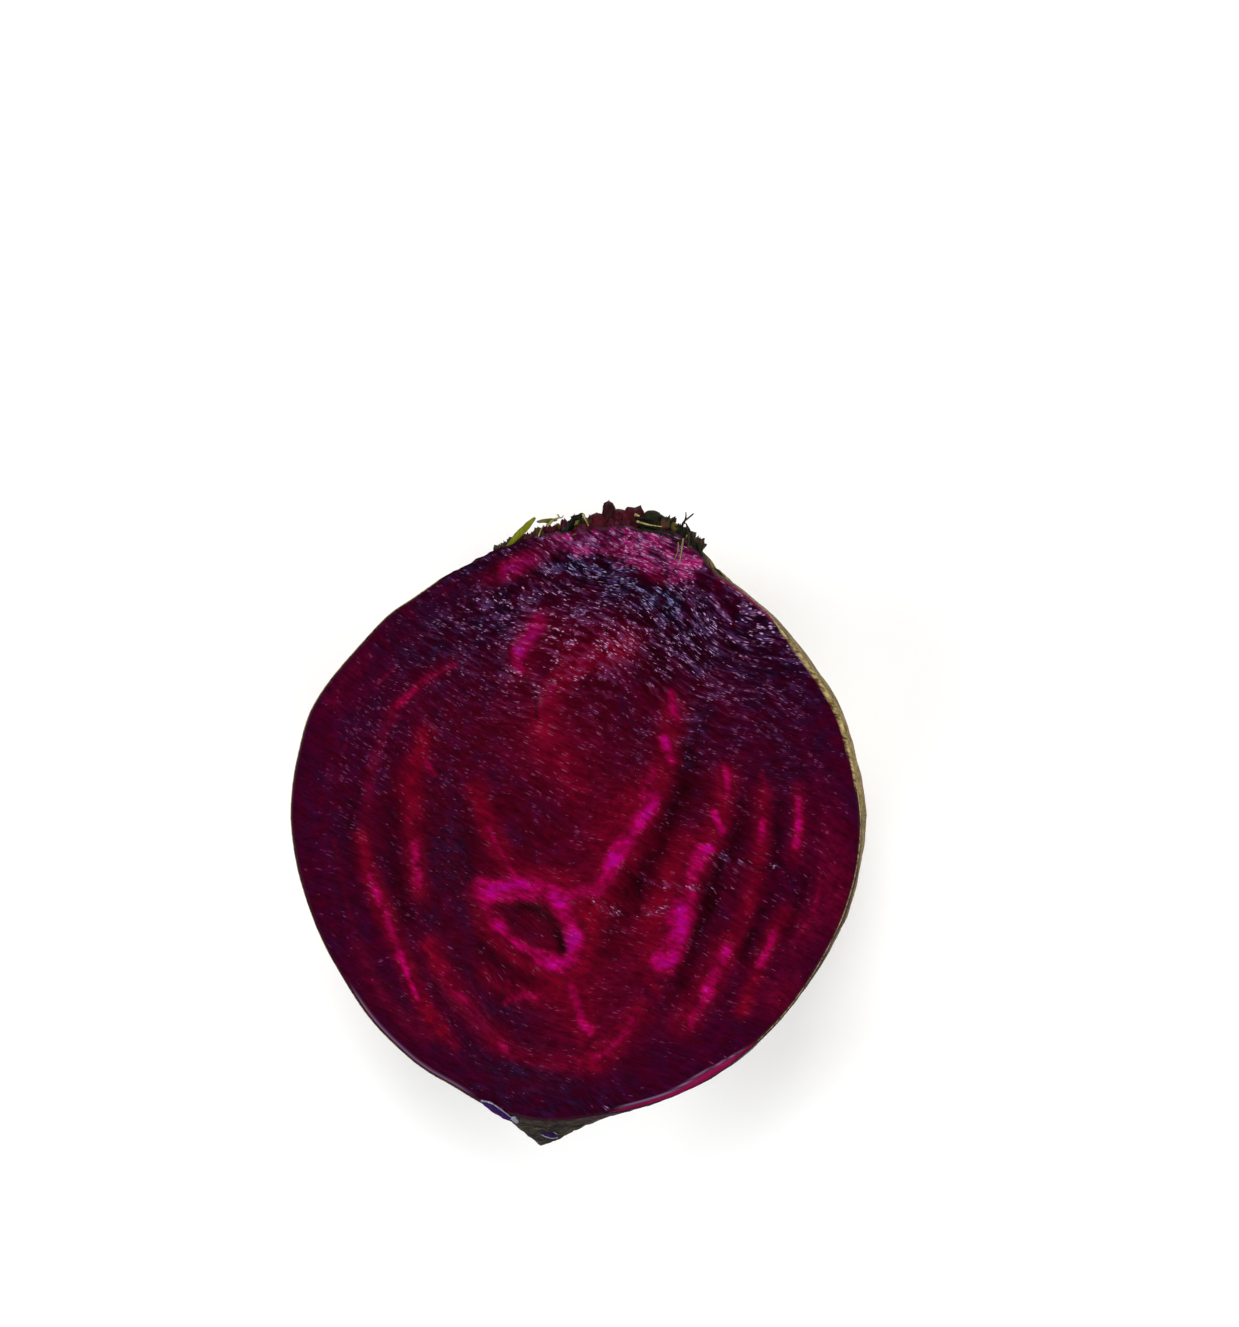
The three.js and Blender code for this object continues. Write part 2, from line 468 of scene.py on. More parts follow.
FORM = RootForm()
PLACE = Place.from_frame(FORM)


# ---- What the cut shows ----

STROKES = (
    # Left side: arcs that follow the skin.
    Stroke(CRIMSON, ((-22.0, 13.7), (-22.4, 11.5), (-24.0, 7.7), (-24.0, 2.7)), 2.8, 0.85),
    Stroke(CRIMSON, ((-24.0, 5.7), (-23.8, -0.3), (-23.4, -4.9), (-22.8, -8.9)), 2.6, 0.8),
    Stroke(MAGENTA, ((-23.6, -2.1), (-23.3, -4.3), (-23.0, -8.3)), 1.7, 0.62),
    Stroke(MAGENTA, ((-21.9, 10.1), (-21.4, 9.3), (-20.5, 8.0)), 1.0, 0.45),
    Stroke(CRIMSON, ((-27.0, 15.9), (-28.4, 12.7), (-30.2, 7.7), (-30.6, 1.2)), 1.6, 0.3),
    Stroke(CRIMSON, ((-31.3, -1.3), (-30.8, -5.3), (-29.4, -8.5), (-28.0, -12.3)), 2.4, 0.9),
    Stroke(CRIMSON, ((-28.0, -12.3), (-25.2, -18.7), (-22.6, -24.7), (-19.6, -29.3)), 2.4, 0.8),
    Stroke(MAGENTA, ((-30.0, -6.9), (-28.2, -11.7), (-26.8, -15.1), (-25.4, -18.5)), 1.4, 0.66),
    Stroke(MAGENTA, ((-25.6, -18.1), (-24.4, -21.6), (-23.0, -24.7)), 0.8, 0.95),
    Stroke(CRIMSON, ((-22.6, -24.7), (-20.2, -28.5), (-17.4, -31.5)), 1.6, 0.5),
    Stroke(CRIMSON, ((-21.0, -17.1), (-19.0, -21.1), (-15.6, -25.5), (-11.2, -30.3)), 2.8, 0.85),
    Stroke(MAGENTA, ((-19.0, -21.3), (-17.4, -23.3), (-13.5, -27.8), (-10.0, -31.7)), 1.5, 0.5),
    Stroke(CRIMSON, ((-11.2, -30.3), (-7.6, -32.9), (-1.9, -33.9), (4.0, -32.9)), 2.4, 0.6),
    Stroke(MAGENTA, ((-10.4, -31.3), (-7.4, -33.3), (-2.4, -34.1), (3.6, -32.9)), 1.4, 0.26),
    Stroke(MAGENTA, ((-17.6, 23.9), (-21.5, 22.0), (-23.8, 19.9), (-26.1, 17.9)), 1.2, 0.5),
    Stroke(CRIMSON, ((-17.6, 24.3), (-21.8, 22.1), (-26.6, 17.3)), 2.2, 0.35),
    Stroke(MAGENTA, ((-26.4, 23.5), (-29.1, 21.0)), 0.6, 0.3),
    Stroke(MAGENTA, ((-31.0, 24.7), (-33.6, 21.5), (-35.8, 18.1)), 3.0, 0.2),
    Stroke(MAGENTA, ((-33.6, 12.7), (-34.6, 9.7), (-35.2, 6.3)), 0.8, 0.16),
    Stroke(MAGENTA, ((-35.5, -1.7), (-34.4, -6.7), (-33.4, -11.8), (-32.2, -14.7)), 1.0, 0.18),
    Stroke(CRIMSON, ((-32.0, -17.3), (-29.4, -22.9), (-26.2, -26.9), (-22.2, -30.3)), 2.6, 0.3),
    # Top: a short stroke that ends in a crack, and a crimson glow beside it.
    Stroke(MAGENTA, ((-5.0, 30.3), (-6.5, 27.8), (-7.8, 25.9)), 2.6, 0.8),
    Stroke(MAGENTA, ((-7.8, 25.9), (-8.1, 24.5), (-7.7, 22.9)), 1.7, 0.7),
    Stroke(CRIMSON, ((-4.4, 30.3), (-6.2, 27.1), (-7.6, 23.1)), 3.6, 0.7),
    Stroke(CRIMSON, ((-4.2, 15.3), (-3.7, 18.3), (-2.2, 21.1), (0.0, 23.9)), 3.2, 1.0),
    Stroke(MAGENTA, ((-4.3, 16.7), (-3.9, 18.5), (-3.0, 20.3)), 1.8, 0.34),
    Stroke(CRIMSON, ((-0.2, 24.1), (3.0, 24.9), (5.4, 25.1), (8.8, 27.3)), 3.0, 1.0),
    Stroke(MAGENTA, ((0.8, 24.5), (3.0, 24.9), (5.0, 24.7)), 1.8, 0.32),
    Stroke(CRIMSON, ((-3.8, 12.1), (-1.2, 9.5), (0.6, 6.3)), 4.4, 0.6),
    # Painted shade in the crack beside the pith's upper end.
    Stroke(DEEP, ((-5.4, 20.5), (-5.4, 18.3), (-5.3, 16.1)), 0.6, 0.7),
    # Middle: a thin bent line, and the eye with its ring.
    Stroke(CRIMSON, ((-14.4, 5.7), (-12.8, 1.1), (-11.0, -2.7), (-9.0, -6.5)), 2.8, 0.8),
    Stroke(MAGENTA, ((-12.4, 0.3), (-11.2, -2.1), (-9.6, -5.1), (-8.3, -7.3)), 0.9, 0.5),
    Stroke(MAGENTA, ((-13.2, -8.5), (-10.6, -8.7), (-6.8, -8.7)), 3.2, 0.86),
    Stroke(MAGENTA, ((-8.6, -8.5), (-7.4, -8.8)), 2.4, 0.9),
    Stroke(MAGENTA, ((-12.6, -9.9), (-12.4, -11.9), (-11.2, -13.9)), 2.0, 0.6),
    Stroke(MAGENTA, ((-11.2, -13.9), (-9.2, -15.9), (-6.6, -17.5), (-4.0, -18.9)), 1.8, 0.62),
    Stroke(MAGENTA, ((-4.2, -18.6), (-2.0, -19.5), (-0.5, -18.7), (0.2, -15.7)), 2.4, 0.84),
    Stroke(MAGENTA, ((0.2, -15.7), (-0.6, -13.1), (-2.2, -10.7), (-4.2, -8.9)), 2.4, 0.72),
    Stroke(MAGENTA, ((-4.4, -8.3), (-2.8, -9.5), (-1.8, -11.9)), 2.0, 0.6),
    Stroke(CRIMSON, ((-6.2, -6.7), (-1.6, -7.7), (1.8, -10.9), (2.0, -16.1), (-0.6, -21.3)), 3.0, 0.75),
    Stroke(CRIMSON, ((-14.2, -9.9), (-12.2, -15.1), (-7.2, -19.5), (-2.6, -21.1)), 2.8, 0.7),
    # Painted shade along the upper edge of the eye's hollow.
    Stroke(DEEP, ((-7.8, -11.1), (-4.6, -12.1), (-2.5, -14.5), (-1.5, -17.3)), 1.5, 1.0),
    Stroke(MAGENTA, ((-11.0, -14.4), (-8.4, -16.2), (-5.1, -18.1), (-3.5, -19.3)), 0.5, 0.5),
    Stroke(MAGENTA, ((-10.0, -25.1), (-8.4, -24.1), (-6.4, -24.2), (-4.4, -24.2)), 1.2, 0.6),
    Stroke(CRIMSON, ((-12.8, -21.3), (-11.0, -22.9), (-7.6, -23.9), (-3.2, -23.7)), 2.6, 0.6),
    Stroke(MAGENTA, ((-0.2, -22.7), (0.6, -24.7), (1.5, -27.8), (2.5, -29.0)), 1.6, 0.66),
    Stroke(CRIMSON, ((-0.8, -20.9), (0.2, -24.7), (2.0, -28.9)), 3.2, 0.7),
    Stroke(MAGENTA, ((9.1, -27.1), (7.9, -29.0), (6.0, -30.9), (4.1, -32.6)), 1.6, 0.5),
    Stroke(CRIMSON, ((9.8, -26.3), (7.0, -30.1), (3.0, -33.5)), 3.2, 0.7),
    Stroke(CRIMSON, ((11.0, -21.8), (12.8, -23.1)), 1.2, 0.6),
    # Right side: feathered streaks that lean outwards.
    Stroke(MAGENTA, ((14.5, 19.9), (14.6, 18.1), (15.4, 15.7)), 1.3, 0.7),
    Stroke(MAGENTA, ((13.4, 13.3), (13.7, 12.1), (14.6, 9.9)), 1.5, 0.88),
    Stroke(CRIMSON, ((15.0, 17.7), (14.4, 11.7), (13.2, 8.1), (10.6, 4.3)), 3.4, 0.95),
    Stroke(MAGENTA, ((11.8, 8.1), (10.2, 5.1)), 2.2, 0.42),
    Stroke(MAGENTA, ((12.0, 4.5), (11.0, 2.7), (9.4, 0.9)), 1.9, 0.84),
    Stroke(MAGENTA, ((7.8, -1.5), (6.7, -2.9), (5.8, -4.7)), 2.0, 1.0),
    Stroke(MAGENTA, ((10.0, 1.5), (7.6, -2.1), (5.6, -5.1), (4.6, -7.7)), 2.8, 0.42),
    Stroke(MAGENTA, ((4.8, -7.1), (3.4, -8.5), (1.0, -8.9), (-2.0, -9.7)), 2.6, 0.5),
    Stroke(CRIMSON, ((10.4, 3.7), (7.8, -2.3), (5.4, -7.9), (1.4, -11.3)), 6.0, 0.85),
    Stroke(MAGENTA, ((22.3, 9.1), (22.6, 7.3), (22.7, 5.3)), 1.1, 0.6),
    Stroke(MAGENTA, ((20.7, 2.6), (21.2, 1.3), (21.9, -0.1)), 1.1, 0.86),
    Stroke(CRIMSON, ((22.4, 7.7), (21.6, 1.7), (19.0, -2.9), (16.8, -7.9)), 3.2, 0.8),
    Stroke(MAGENTA, ((20.0, -2.5), (18.8, -2.9)), 1.8, 0.86),
    Stroke(MAGENTA, ((18.6, -3.9), (17.4, -6.1), (17.1, -9.3), (16.0, -12.1)), 2.5, 0.62),
    Stroke(MAGENTA, ((16.0, -11.9), (15.3, -14.7), (14.8, -17.3), (13.3, -18.7)), 3.3, 1.0),
    Stroke(CRIMSON, ((15.6, -1.9), (13.6, -8.3), (12.0, -13.3), (12.0, -17.7)), 4.4, 0.8),
    Stroke(MAGENTA, ((27.5, 8.1), (28.4, 6.1)), 0.9, 0.36),
    Stroke(MAGENTA, ((27.7, 1.3), (27.5, -1.1)), 1.2, 0.72),
    Stroke(CRIMSON, ((27.8, 5.3), (27.6, -0.9), (26.8, -5.9), (25.2, -12.3), (22.4, -17.3)), 2.6, 0.75),
    Stroke(MAGENTA, ((26.4, -6.9), (26.0, -8.5)), 1.2, 0.4),
    Stroke(MAGENTA, ((22.6, -16.9), (21.2, -19.6), (19.9, -22.9)), 2.0, 0.68),
    Stroke(MAGENTA, ((19.9, -22.9), (18.2, -25.9), (17.3, -27.9)), 1.6, 0.54),
    Stroke(CRIMSON, ((22.4, -17.3), (19.0, -23.3), (16.2, -27.9)), 3.8, 0.7),
    Stroke(MAGENTA, ((32.9, 4.6), (33.0, 1.6), (32.6, -1.9)), 1.2, 0.8),
    Stroke(CRIMSON, ((32.8, 6.1), (33.0, 0.7), (32.2, -3.9)), 2.0, 0.6),
    Stroke(CRIMSON, ((31.0, -11.9), (29.2, -14.7), (27.2, -19.7), (24.8, -25.7)), 2.2, 0.75),
    Stroke(MAGENTA, ((29.3, -14.5), (28.3, -17.3), (27.2, -19.1)), 1.3, 0.68),
    Stroke(MAGENTA, ((36.2, -5.9), (35.9, -8.3), (34.8, -11.8), (33.2, -14.7)), 1.0, 0.3),
    # Dark bands beside them.
    Stroke(DEEP, ((17.0, 11.7), (16.6, 7.7), (14.6, 2.3), (12.0, -3.3), (9.0, -8.3)), 3.4, 0.9),
    Stroke(DEEP, ((9.0, -8.3), (6.8, -11.7), (5.4, -17.3)), 3.6, 0.5),
    Stroke(DEEP, ((24.8, 3.7), (23.6, -1.9), (21.6, -5.7), (19.8, -10.7)), 2.2, 0.9),
    Stroke(DEEP, ((19.8, -10.7), (18.0, -15.7), (15.8, -22.1)), 2.2, 0.85),
    Stroke(DEEP, ((30.0, 3.7), (29.8, -2.3), (29.1, -8.6), (27.0, -12.7), (25.0, -17.5)), 1.8, 0.8),
    Stroke(DEEP, ((34.0, -6.3), (32.8, -10.7), (31.0, -14.3)), 1.4, 0.7),
    Stroke(DEEP, ((13.0, 29.7), (12.0, 26.1), (13.4, 22.3)), 4.6, 0.7),
    Stroke(DEEP, ((-26.2, 4.7), (-26.4, -1.3), (-26.0, -7.3), (-24.6, -12.9)), 2.4, 0.6),
    Stroke(DEEP, ((-32.8, 4.7), (-33.0, -0.3), (-32.4, -4.9)), 2.0, 0.5),
    Stroke(DEEP, ((-15.5, 2.7), (-15.2, -2.3), (-15.0, -6.3)), 1.8, 0.5),
    Stroke(DEEP, ((-13.2, -16.9), (-10.0, -19.7), (-5.6, -21.9)), 1.8, 0.7),
)

PATCHES: tuple[Union[Patch, Stroke], ...] = (
    Patch(CRIMSON, (2.0, 27.3), (17.0, 5.0), 0, 0.5),
    Patch(CRIMSON, (-2.6, 12.7), (16.0, 12.0), -20, 0.32),
    Patch(CRIMSON, (6.4, 1.3), (9.0, 7.0), 40, 0.45),
    Patch(CRIMSON, (3.4, -15.3), (16.0, 26.0), 12, 0.35),
    Patch(CRIMSON, (30.4, -23.7), (7.0, 5.0), 40, 0.4),
    Patch(CRIMSON, (-0.6, -24.3), (10.0, 16.0), 0, 0.3),
    Patch(CRIMSON, (38.2, -6.3), (6.0, 24.0), 8, 0.36),
    Patch(CRIMSON, (33.6, -13.7), (5.0, 12.0), -20, 0.34),
    Patch(MAGENTA, (-4.9, -36.9), (7.0, 3.0), 0, 0.16),
    Patch(GLOOM, (5.4, -40.4), (3.0, 1.8), 10, 1.0),
    Patch(GLOOM, (-18.0, -3.3), (5.6, 18.0), 6, 0.5),
    Patch(GLOOM, (-11.6, -26.3), (9.0, 6.0), -40, 0.5),
    Patch(GLOOM, (-7.6, -34.9), (12.0, 2.6), -8, 0.6),
    Patch(GLOOM, (8.4, 35.1), (26.0, 7.0), -20, 0.95),
    Patch(GLOOM, (19.4, 27.7), (17.0, 9.0), -35, 0.7),
    Patch(GLOOM, (30.4, 25.1), (14.0, 8.0), -45, 0.6),
    Patch(GLOOM, (-11.6, 33.7), (20.0, 8.0), 26, 0.6),
    Patch(GLOOM, (-15.6, 26.7), (20.0, 9.0), 10, 0.5),
    Patch(GLOOM, (-13.6, 39.1), (16.0, 2.2), 32, 0.9),
    Patch(GLOOM, (-3.6, -39.3), (30.0, 4.6), 0, 0.6),
    Patch(GLOOM, (31.4, 13.7), (9.0, 16.0), 14, 0.35),
    Patch(GLOOM, (18.0, 15.7), (5.0, 12.0), 0, 0.45),
    Patch(PINK, (4.0, 42.3), (9.0, 4.0), 8, 1.0),
    Patch(PINK, (10.6, 40.7), (13.0, 5.6), -14, 1.0),
    Patch(PINK, (14.4, 37.7), (7.0, 3.4), -24, 0.6),
    Patch(PINK, (18.6, 38.3), (3.6, 3.6), -50, 0.8),
    Stroke(GLOOM, ((-2.0, 38.7), (3.0, 38.5), (7.5, 36.7), (12.0, 34.1)), 2.8, 1.0),
    Patch(PINK, (-2.0, 40.7), (7.0, 2.6), 18, 0.8),
    Patch(PINK, (2.6, 42.6), (7.0, 2.6), 6, 1.0),
    Patch(MAGENTA, (-8.4, 38.1), (9.0, 3.0), 26, 0.88),
    Patch(MAGENTA, (7.4, 40.6), (7.0, 2.6), -8, 0.75),
    Patch(MAGENTA, (11.8, 36.9), (4.8, 2.4), -24, 0.8),
    Patch(CRIMSON, (-2.4, 41.2), (7.0, 2.4), 20, 0.8),
    Patch(CRIMSON, (2.8, 42.6), (6.0, 2.0), 0, 0.5),
)

# Places where the painted glints lie thicker: rows across the middle, along the crack, under the crown and
# beside the tail.
GLINTS = (
    Stroke(GLINT, ((7.0, -5.5), (10.0, -7.3), (13.4, -7.9), (17.8, -8.1), (23.0, -8.1)), 0.9, 0.22),
    Stroke(GLINT, ((20.4, -3.5), (24.0, -4.1), (27.4, -5.5), (30.8, -4.3)), 0.9, 0.22),
    Stroke(GLINT, ((2.8, -10.5), (8.0, -12.1), (12.4, -11.5), (16.2, -10.7)), 0.9, 0.22),
    Stroke(GLINT, ((-10.0, 23.1), (-8.1, 22.3), (-6.6, 21.4), (-5.5, 20.1)), 1.2, 0.3),
    Stroke(GLINT, ((15.0, 32.7), (17.4, 28.1), (19.0, 23.7)), 2.6, 0.15),
    Stroke(GLINT, ((-0.2, 39.1), (4.4, 38.5), (9.0, 35.9), (14.0, 32.7)), 3.0, 0.06),
    Stroke(GLINT, ((4.6, -40.0), (6.2, -40.4)), 0.7, 0.3),
    Stroke(GLINT, ((6.6, 41.6), (9.0, 41.5), (11.6, 40.6)), 2.2, 0.25),
)

# A shallow hollow in the eye: its strength is its depth in millimetres.
HOLLOW = Patch(GLOOM, (-6.0, -13.6), (7.6, 4.6), -35, 0.35)
# A short open crack beside the pith's upper end, as deep as its strength.
CRACK = Stroke(DEEP, ((-9.6, 22.9), (-8.1, 22.1), (-6.6, 21.2), (-5.4, 19.9), (-5.0, 18.2)), 0.8, 0.14)
# The band of dense flesh under the crown, where the painted glints are blue.
BLUE_BAND = Stroke(BLUE, ((-0.6, 39.3), (4.4, 38.7), (9.4, 36.1), (14.4, 32.7)), 4.0, 0.7)


# ---- Finishes ----


@dataclass(frozen=True)
class Patterns:
    """What the layers of the flesh share: the node tree, the marks and the noises."""

    tree: Tree
    marks: dict[Channel, Socket]
    bent: Node  # places in millimetres, bent a little
    grain: Node  # the fine grain that the blade left
    rows: Node  # the wavy rows that torn grains lie in
    clump: Node  # clumps of cells, about 3 mm across
    broad: Node  # slow changes, about 9 mm across
    torn: Node  # where the cut is torn and wet near the crown: painted glints, sheen and shade are strongest


@dataclass(frozen=True)
class CutFlesh:
    """Raw beetroot flesh, cut with a knife and still wet.

    Betanin makes it a purple that is nearly black where the cells are dense, and magenta along the
    vascular rings. The blade tears grains up in one direction, and the glints that the juice gives them
    are painted into the colour as pale dashes, with painted shade between them and a painted sheen.
    """

    name: str = "cut_beetroot_flesh"
    ior: float = 1.36
    sheen: float = 0.07  # torn cells scatter most of the gleam that the juice would give
    outer: str = "#3b0120"
    inner: str = "#48021a"
    purple: str = "#28042b"
    maroon: str = "#4e0114"
    crimson: str = "#7c0220"
    faint_ring: str = "#5a0230"
    heat: tuple[tuple[float, str], ...] = (
        (0.0, "#4a021a"), (0.3, "#700328"), (0.55, "#90013e"), (0.8, "#a80156"), (1.0, "#b0017c"),
    )
    gloom: str = "#1f0318"
    gloom_blue: str = "#1c1030"
    deep: str = "#25000a"
    pink: str = "#54103a"
    pink_deep: str = "#a00c5c"
    painted_pink_highlight: str = "#b078a4"
    # Painted highlights: the glints of the wet grains, bright, dim and blue, and a painted sheen.
    glint_highlight: str = "#b08eb6"
    glint_highlight_dim: str = "#763660"
    glint_highlight_blue: str = "#7e8cbe"
    painted_sheen: str = "#4c3260"
    rim: str = "#24030f"
    bark_dark: str = "#4a3a20"
    bark_pale: str = "#ae9a68"
    slice_dark: str = "#56042c"
    slice_pale: str = "#98164f"
    lip: str = "#6c5470"
    grain_turn: float = -28.0
    grain_size: Spot = (1.7, 0.45, 1.0)
    row_size: Spot = (3.3, 0.85, 1.0)
    # Each kind of painted glint, a dash on a torn grain: its turn off the rest, its length, its width,
    # whether it is a coarse one, and how few of its kind shine.
    dashes: tuple[tuple[float, float, float, bool, float], ...] = (
        (0.0, 1.35, 0.19, False, 2.4),
        (11.0, 0.9, 0.16, False, 2.2),
        (-9.0, 0.75, 0.3, True, 1.5),
        (16.0, 0.5, 0.25, True, 1.8),
    )
    dash_shift: Pair = (37.3, 11.9)
    relief: float = 0.045

    def material(self) -> Material:
        """Makes the material.

        Returns:
            The material.
        """
        made, mm = blank(self.name, self.ior, self.sheen)
        on = self.patterns(made.node_tree, mm)
        colour = self.ground(on)
        colour = self.streaks(on, colour)
        colour = self.dark_places(on, colour)
        colour = self.crown_tissue(on, colour)
        colour = self.paint_furrow_shade(on, colour)
        # Painted highlights: the glints of the wet grains, as pale dashes.
        painted_glints = self.painted_glints(on)
        colour = self.paint_glints(on, colour, painted_glints)
        colour = self.edges(on, colour)
        rough = add(on.tree, "MapRange", {0: on.clump, 1: 0.3, 2: 0.7, 3: 0.18, 4: 0.28})
        # The painted glints also stand up a little as relief.
        heights = add(on.tree, "Math", {0: painted_glints, 1: 0.4, 2: on.grain}, operation="MULTIPLY_ADD")
        coat(made, colour, rough, heights, self.relief)
        return made

    def patterns(self, tree: Tree, mm: Node) -> Patterns:
        """Draws the patterns that the layers share.

        Args:
            tree: The node tree.
            mm: Places in millimetres.

        Returns:
            The patterns.
        """
        marks = {c: add(tree, "Attribute", attribute_name=c.value).outputs["Fac"] for c in CUT_MARKS}
        bend = add(tree, "TexNoise", {"Vector": mm, "Scale": 0.045, "Detail": 1.0})
        bent = add(tree, "VectorMath", {0: bend.outputs["Color"], "Scale": 9.0}, operation="SCALE")
        bent = add(tree, "VectorMath", {0: bent, 1: mm}, operation="ADD")
        turned = {"Vector": bent, "Rotation": (0, 0, math.radians(self.grain_turn))}
        fine = add(tree, "Mapping", {**turned, "Scale": self.grain_size}, vector_type="TEXTURE")
        wavy = add(tree, "Mapping", {**turned, "Scale": self.row_size}, vector_type="TEXTURE")
        return Patterns(
            tree=tree,
            marks=marks,
            bent=bent,
            grain=add(tree, "TexNoise", {"Vector": fine, "Scale": 1.0, "Detail": 3.0, "Roughness": 0.62}),
            rows=add(tree, "TexNoise", {"Vector": wavy, "Scale": 1.0, "Detail": 2.0}),
            clump=add(tree, "TexNoise", {"Vector": bent, "Scale": 0.36, "Detail": 3.0, "Roughness": 0.65}),
            broad=add(tree, "TexNoise", {"Vector": mm, "Scale": 0.11, "Detail": 2.0, "Roughness": 0.5}),
            torn=add(tree, "MapRange", {0: marks[GLINT], 1: 0.12, 2: 0.3}),
        )

    def ground(self, on: Patterns) -> Node:
        """Colours the flesh between the streaks, redder towards the pith, mottled and ringed.

        Args:
            on: The shared patterns.

        Returns:
            The colour.
        """
        tree = on.tree
        depth = add(tree, "Math", {0: on.broad, 1: 18.0, 2: on.marks[EDGE]}, operation="MULTIPLY_ADD")
        inward = add(tree, "MapRange", {0: depth, 1: 14.0, 2: 30.0})
        base = add(tree, "MixRGB", {0: inward, 1: self.outer, 2: self.inner})
        wobble = add(tree, "Math", {0: on.broad, 1: 1.1, 2: on.marks[RING]}, operation="MULTIPLY_ADD")
        turns = add(tree, "Math", {0: wobble, 1: 2 * math.pi}, operation="MULTIPLY")
        wave = add(tree, "Math", {0: turns}, operation="SINE")
        wave = add(tree, "Math", {0: on.clump, 1: 0.8, 2: wave}, operation="MULTIPLY_ADD")
        line = add(tree, "MapRange", {0: wave, 1: 0.9, 2: 1.5, 4: 0.25})
        base = add(tree, "MixRGB", {0: line, 1: base, 2: self.faint_ring})
        mixed = add(tree, "Math", {0: on.grain, 1: 0.6, 2: on.clump}, operation="MULTIPLY_ADD")
        cold = add(tree, "MapRange", {0: mixed, 1: 0.8, 2: 0.98, 4: 0.5})
        base = add(tree, "MixRGB", {0: cold, 1: base, 2: self.purple})
        warm = add(tree, "MapRange", {0: mixed, 1: 0.76, 2: 0.62, 4: 0.48})
        return add(tree, "MixRGB", {0: warm, 1: base, 2: self.maroon})

    def streaks(self, on: Patterns, colour: Node) -> Node:
        """Lays the crimson glow and the magenta rings over the flesh, feathered by the blade.

        Args:
            on: The shared patterns.
            colour: The colour so far.

        Returns:
            The new colour.
        """
        tree = on.tree
        feather = add(tree, "Math", {0: on.grain, 1: 0.38, 2: on.clump}, operation="MULTIPLY_ADD")
        gain = add(tree, "MapRange", {0: feather, 1: 0.51, 2: 0.88, 3: 0.42, 4: 1.42})
        glow = add(tree, "Math", {0: gain, 1: on.marks[CRIMSON]}, operation="MULTIPLY")
        glow = add(tree, "MapRange", {0: glow, 1: 0.05, 2: 1.0, 4: 0.95})
        colour = add(tree, "MixRGB", {0: glow, 1: colour, 2: self.crimson})
        bright = add(tree, "Math", {0: gain, 1: on.marks[MAGENTA]}, operation="MULTIPLY")
        cover = add(tree, "MapRange", {0: bright, 1: 0.04, 2: 0.42})
        heat = add(tree, "ValToRGB", {"Fac": bright}, self.heat)
        return add(tree, "MixRGB", {0: cover, 1: colour, 2: heat})

    def dark_places(self, on: Patterns, colour: Node) -> Node:
        """Darkens the bands beside the rings, and the dense flesh near the crown and the tail.

        Args:
            on: The shared patterns.
            colour: The colour so far.

        Returns:
            The new colour.
        """
        tree = on.tree
        gain = add(tree, "MapRange", {0: on.clump, 1: 0.35, 2: 0.6, 3: 0.55, 4: 1.1})
        # Deep marks also carry painted shade, in the crack and along the eye's hollow.
        deep = add(tree, "Math", {0: gain, 1: on.marks[DEEP]}, operation="MULTIPLY", use_clamp=True)
        colour = add(tree, "MixRGB", {0: deep, 1: colour, 2: self.deep})
        dark = add(tree, "Math", {0: gain, 1: on.marks[GLOOM]}, operation="MULTIPLY", use_clamp=True)
        both = add(tree, "Math", {0: on.grain, 1: on.clump}, operation="ADD")
        bluish = add(tree, "MapRange", {0: both, 1: 0.92, 2: 1.2})
        shade = add(tree, "MixRGB", {0: bluish, 1: self.gloom, 2: self.gloom_blue})
        return add(tree, "MixRGB", {0: dark, 1: colour, 2: shade})

    def crown_tissue(self, on: Patterns, colour: Node) -> Node:
        """Lays the paler tissue under the stalks over the flesh, with painted highlights on its grain.

        Args:
            on: The shared patterns.
            colour: The colour so far.

        Returns:
            The new colour.
        """
        tree = on.tree
        patchy = add(tree, "MapRange", {0: on.clump, 1: 0.38, 2: 0.62, 3: -0.4, 4: 0.3})
        cover = add(tree, "Math", {0: patchy, 1: on.marks[PINK]}, operation="ADD")
        cover = add(tree, "MapRange", {0: cover, 1: 0.32, 2: 0.9})
        hot = add(tree, "MapRange", {0: on.clump, 1: 0.45, 2: 0.62})
        tissue = add(tree, "MixRGB", {0: hot, 1: self.pink, 2: self.pink_deep})
        # Painted highlights on the crests of the grain.
        pale = add(tree, "MapRange", {0: on.grain, 1: 0.54, 2: 0.74, 4: 0.5})
        tissue = add(tree, "MixRGB", {0: pale, 1: tissue, 2: self.painted_pink_highlight})
        return add(tree, "MixRGB", {0: cover, 1: colour, 2: tissue})

    def paint_furrow_shade(self, on: Patterns, colour: Node) -> Node:
        """Paints shade into the grooves between the grains, highlights on their crests, and a sheen.

        Args:
            on: The shared patterns.
            colour: The colour so far.

        Returns:
            The new colour.
        """
        tree = on.tree
        # Painted shade: the flesh darkens in the grooves of the grain, less on the streaks.
        calm = add(tree, "Math", {0: on.marks[MAGENTA], 1: on.marks[CRIMSON]}, operation="MAXIMUM")
        low = add(tree, "MapRange", {0: calm, 3: 0.38, 4: 0.52})
        top = add(tree, "MapRange", {0: calm, 3: 0.84, 4: 0.7})
        furrow_shade = add(tree, "MapRange", {0: on.grain, 1: 0.32, 2: 0.68, 3: low, 4: top})
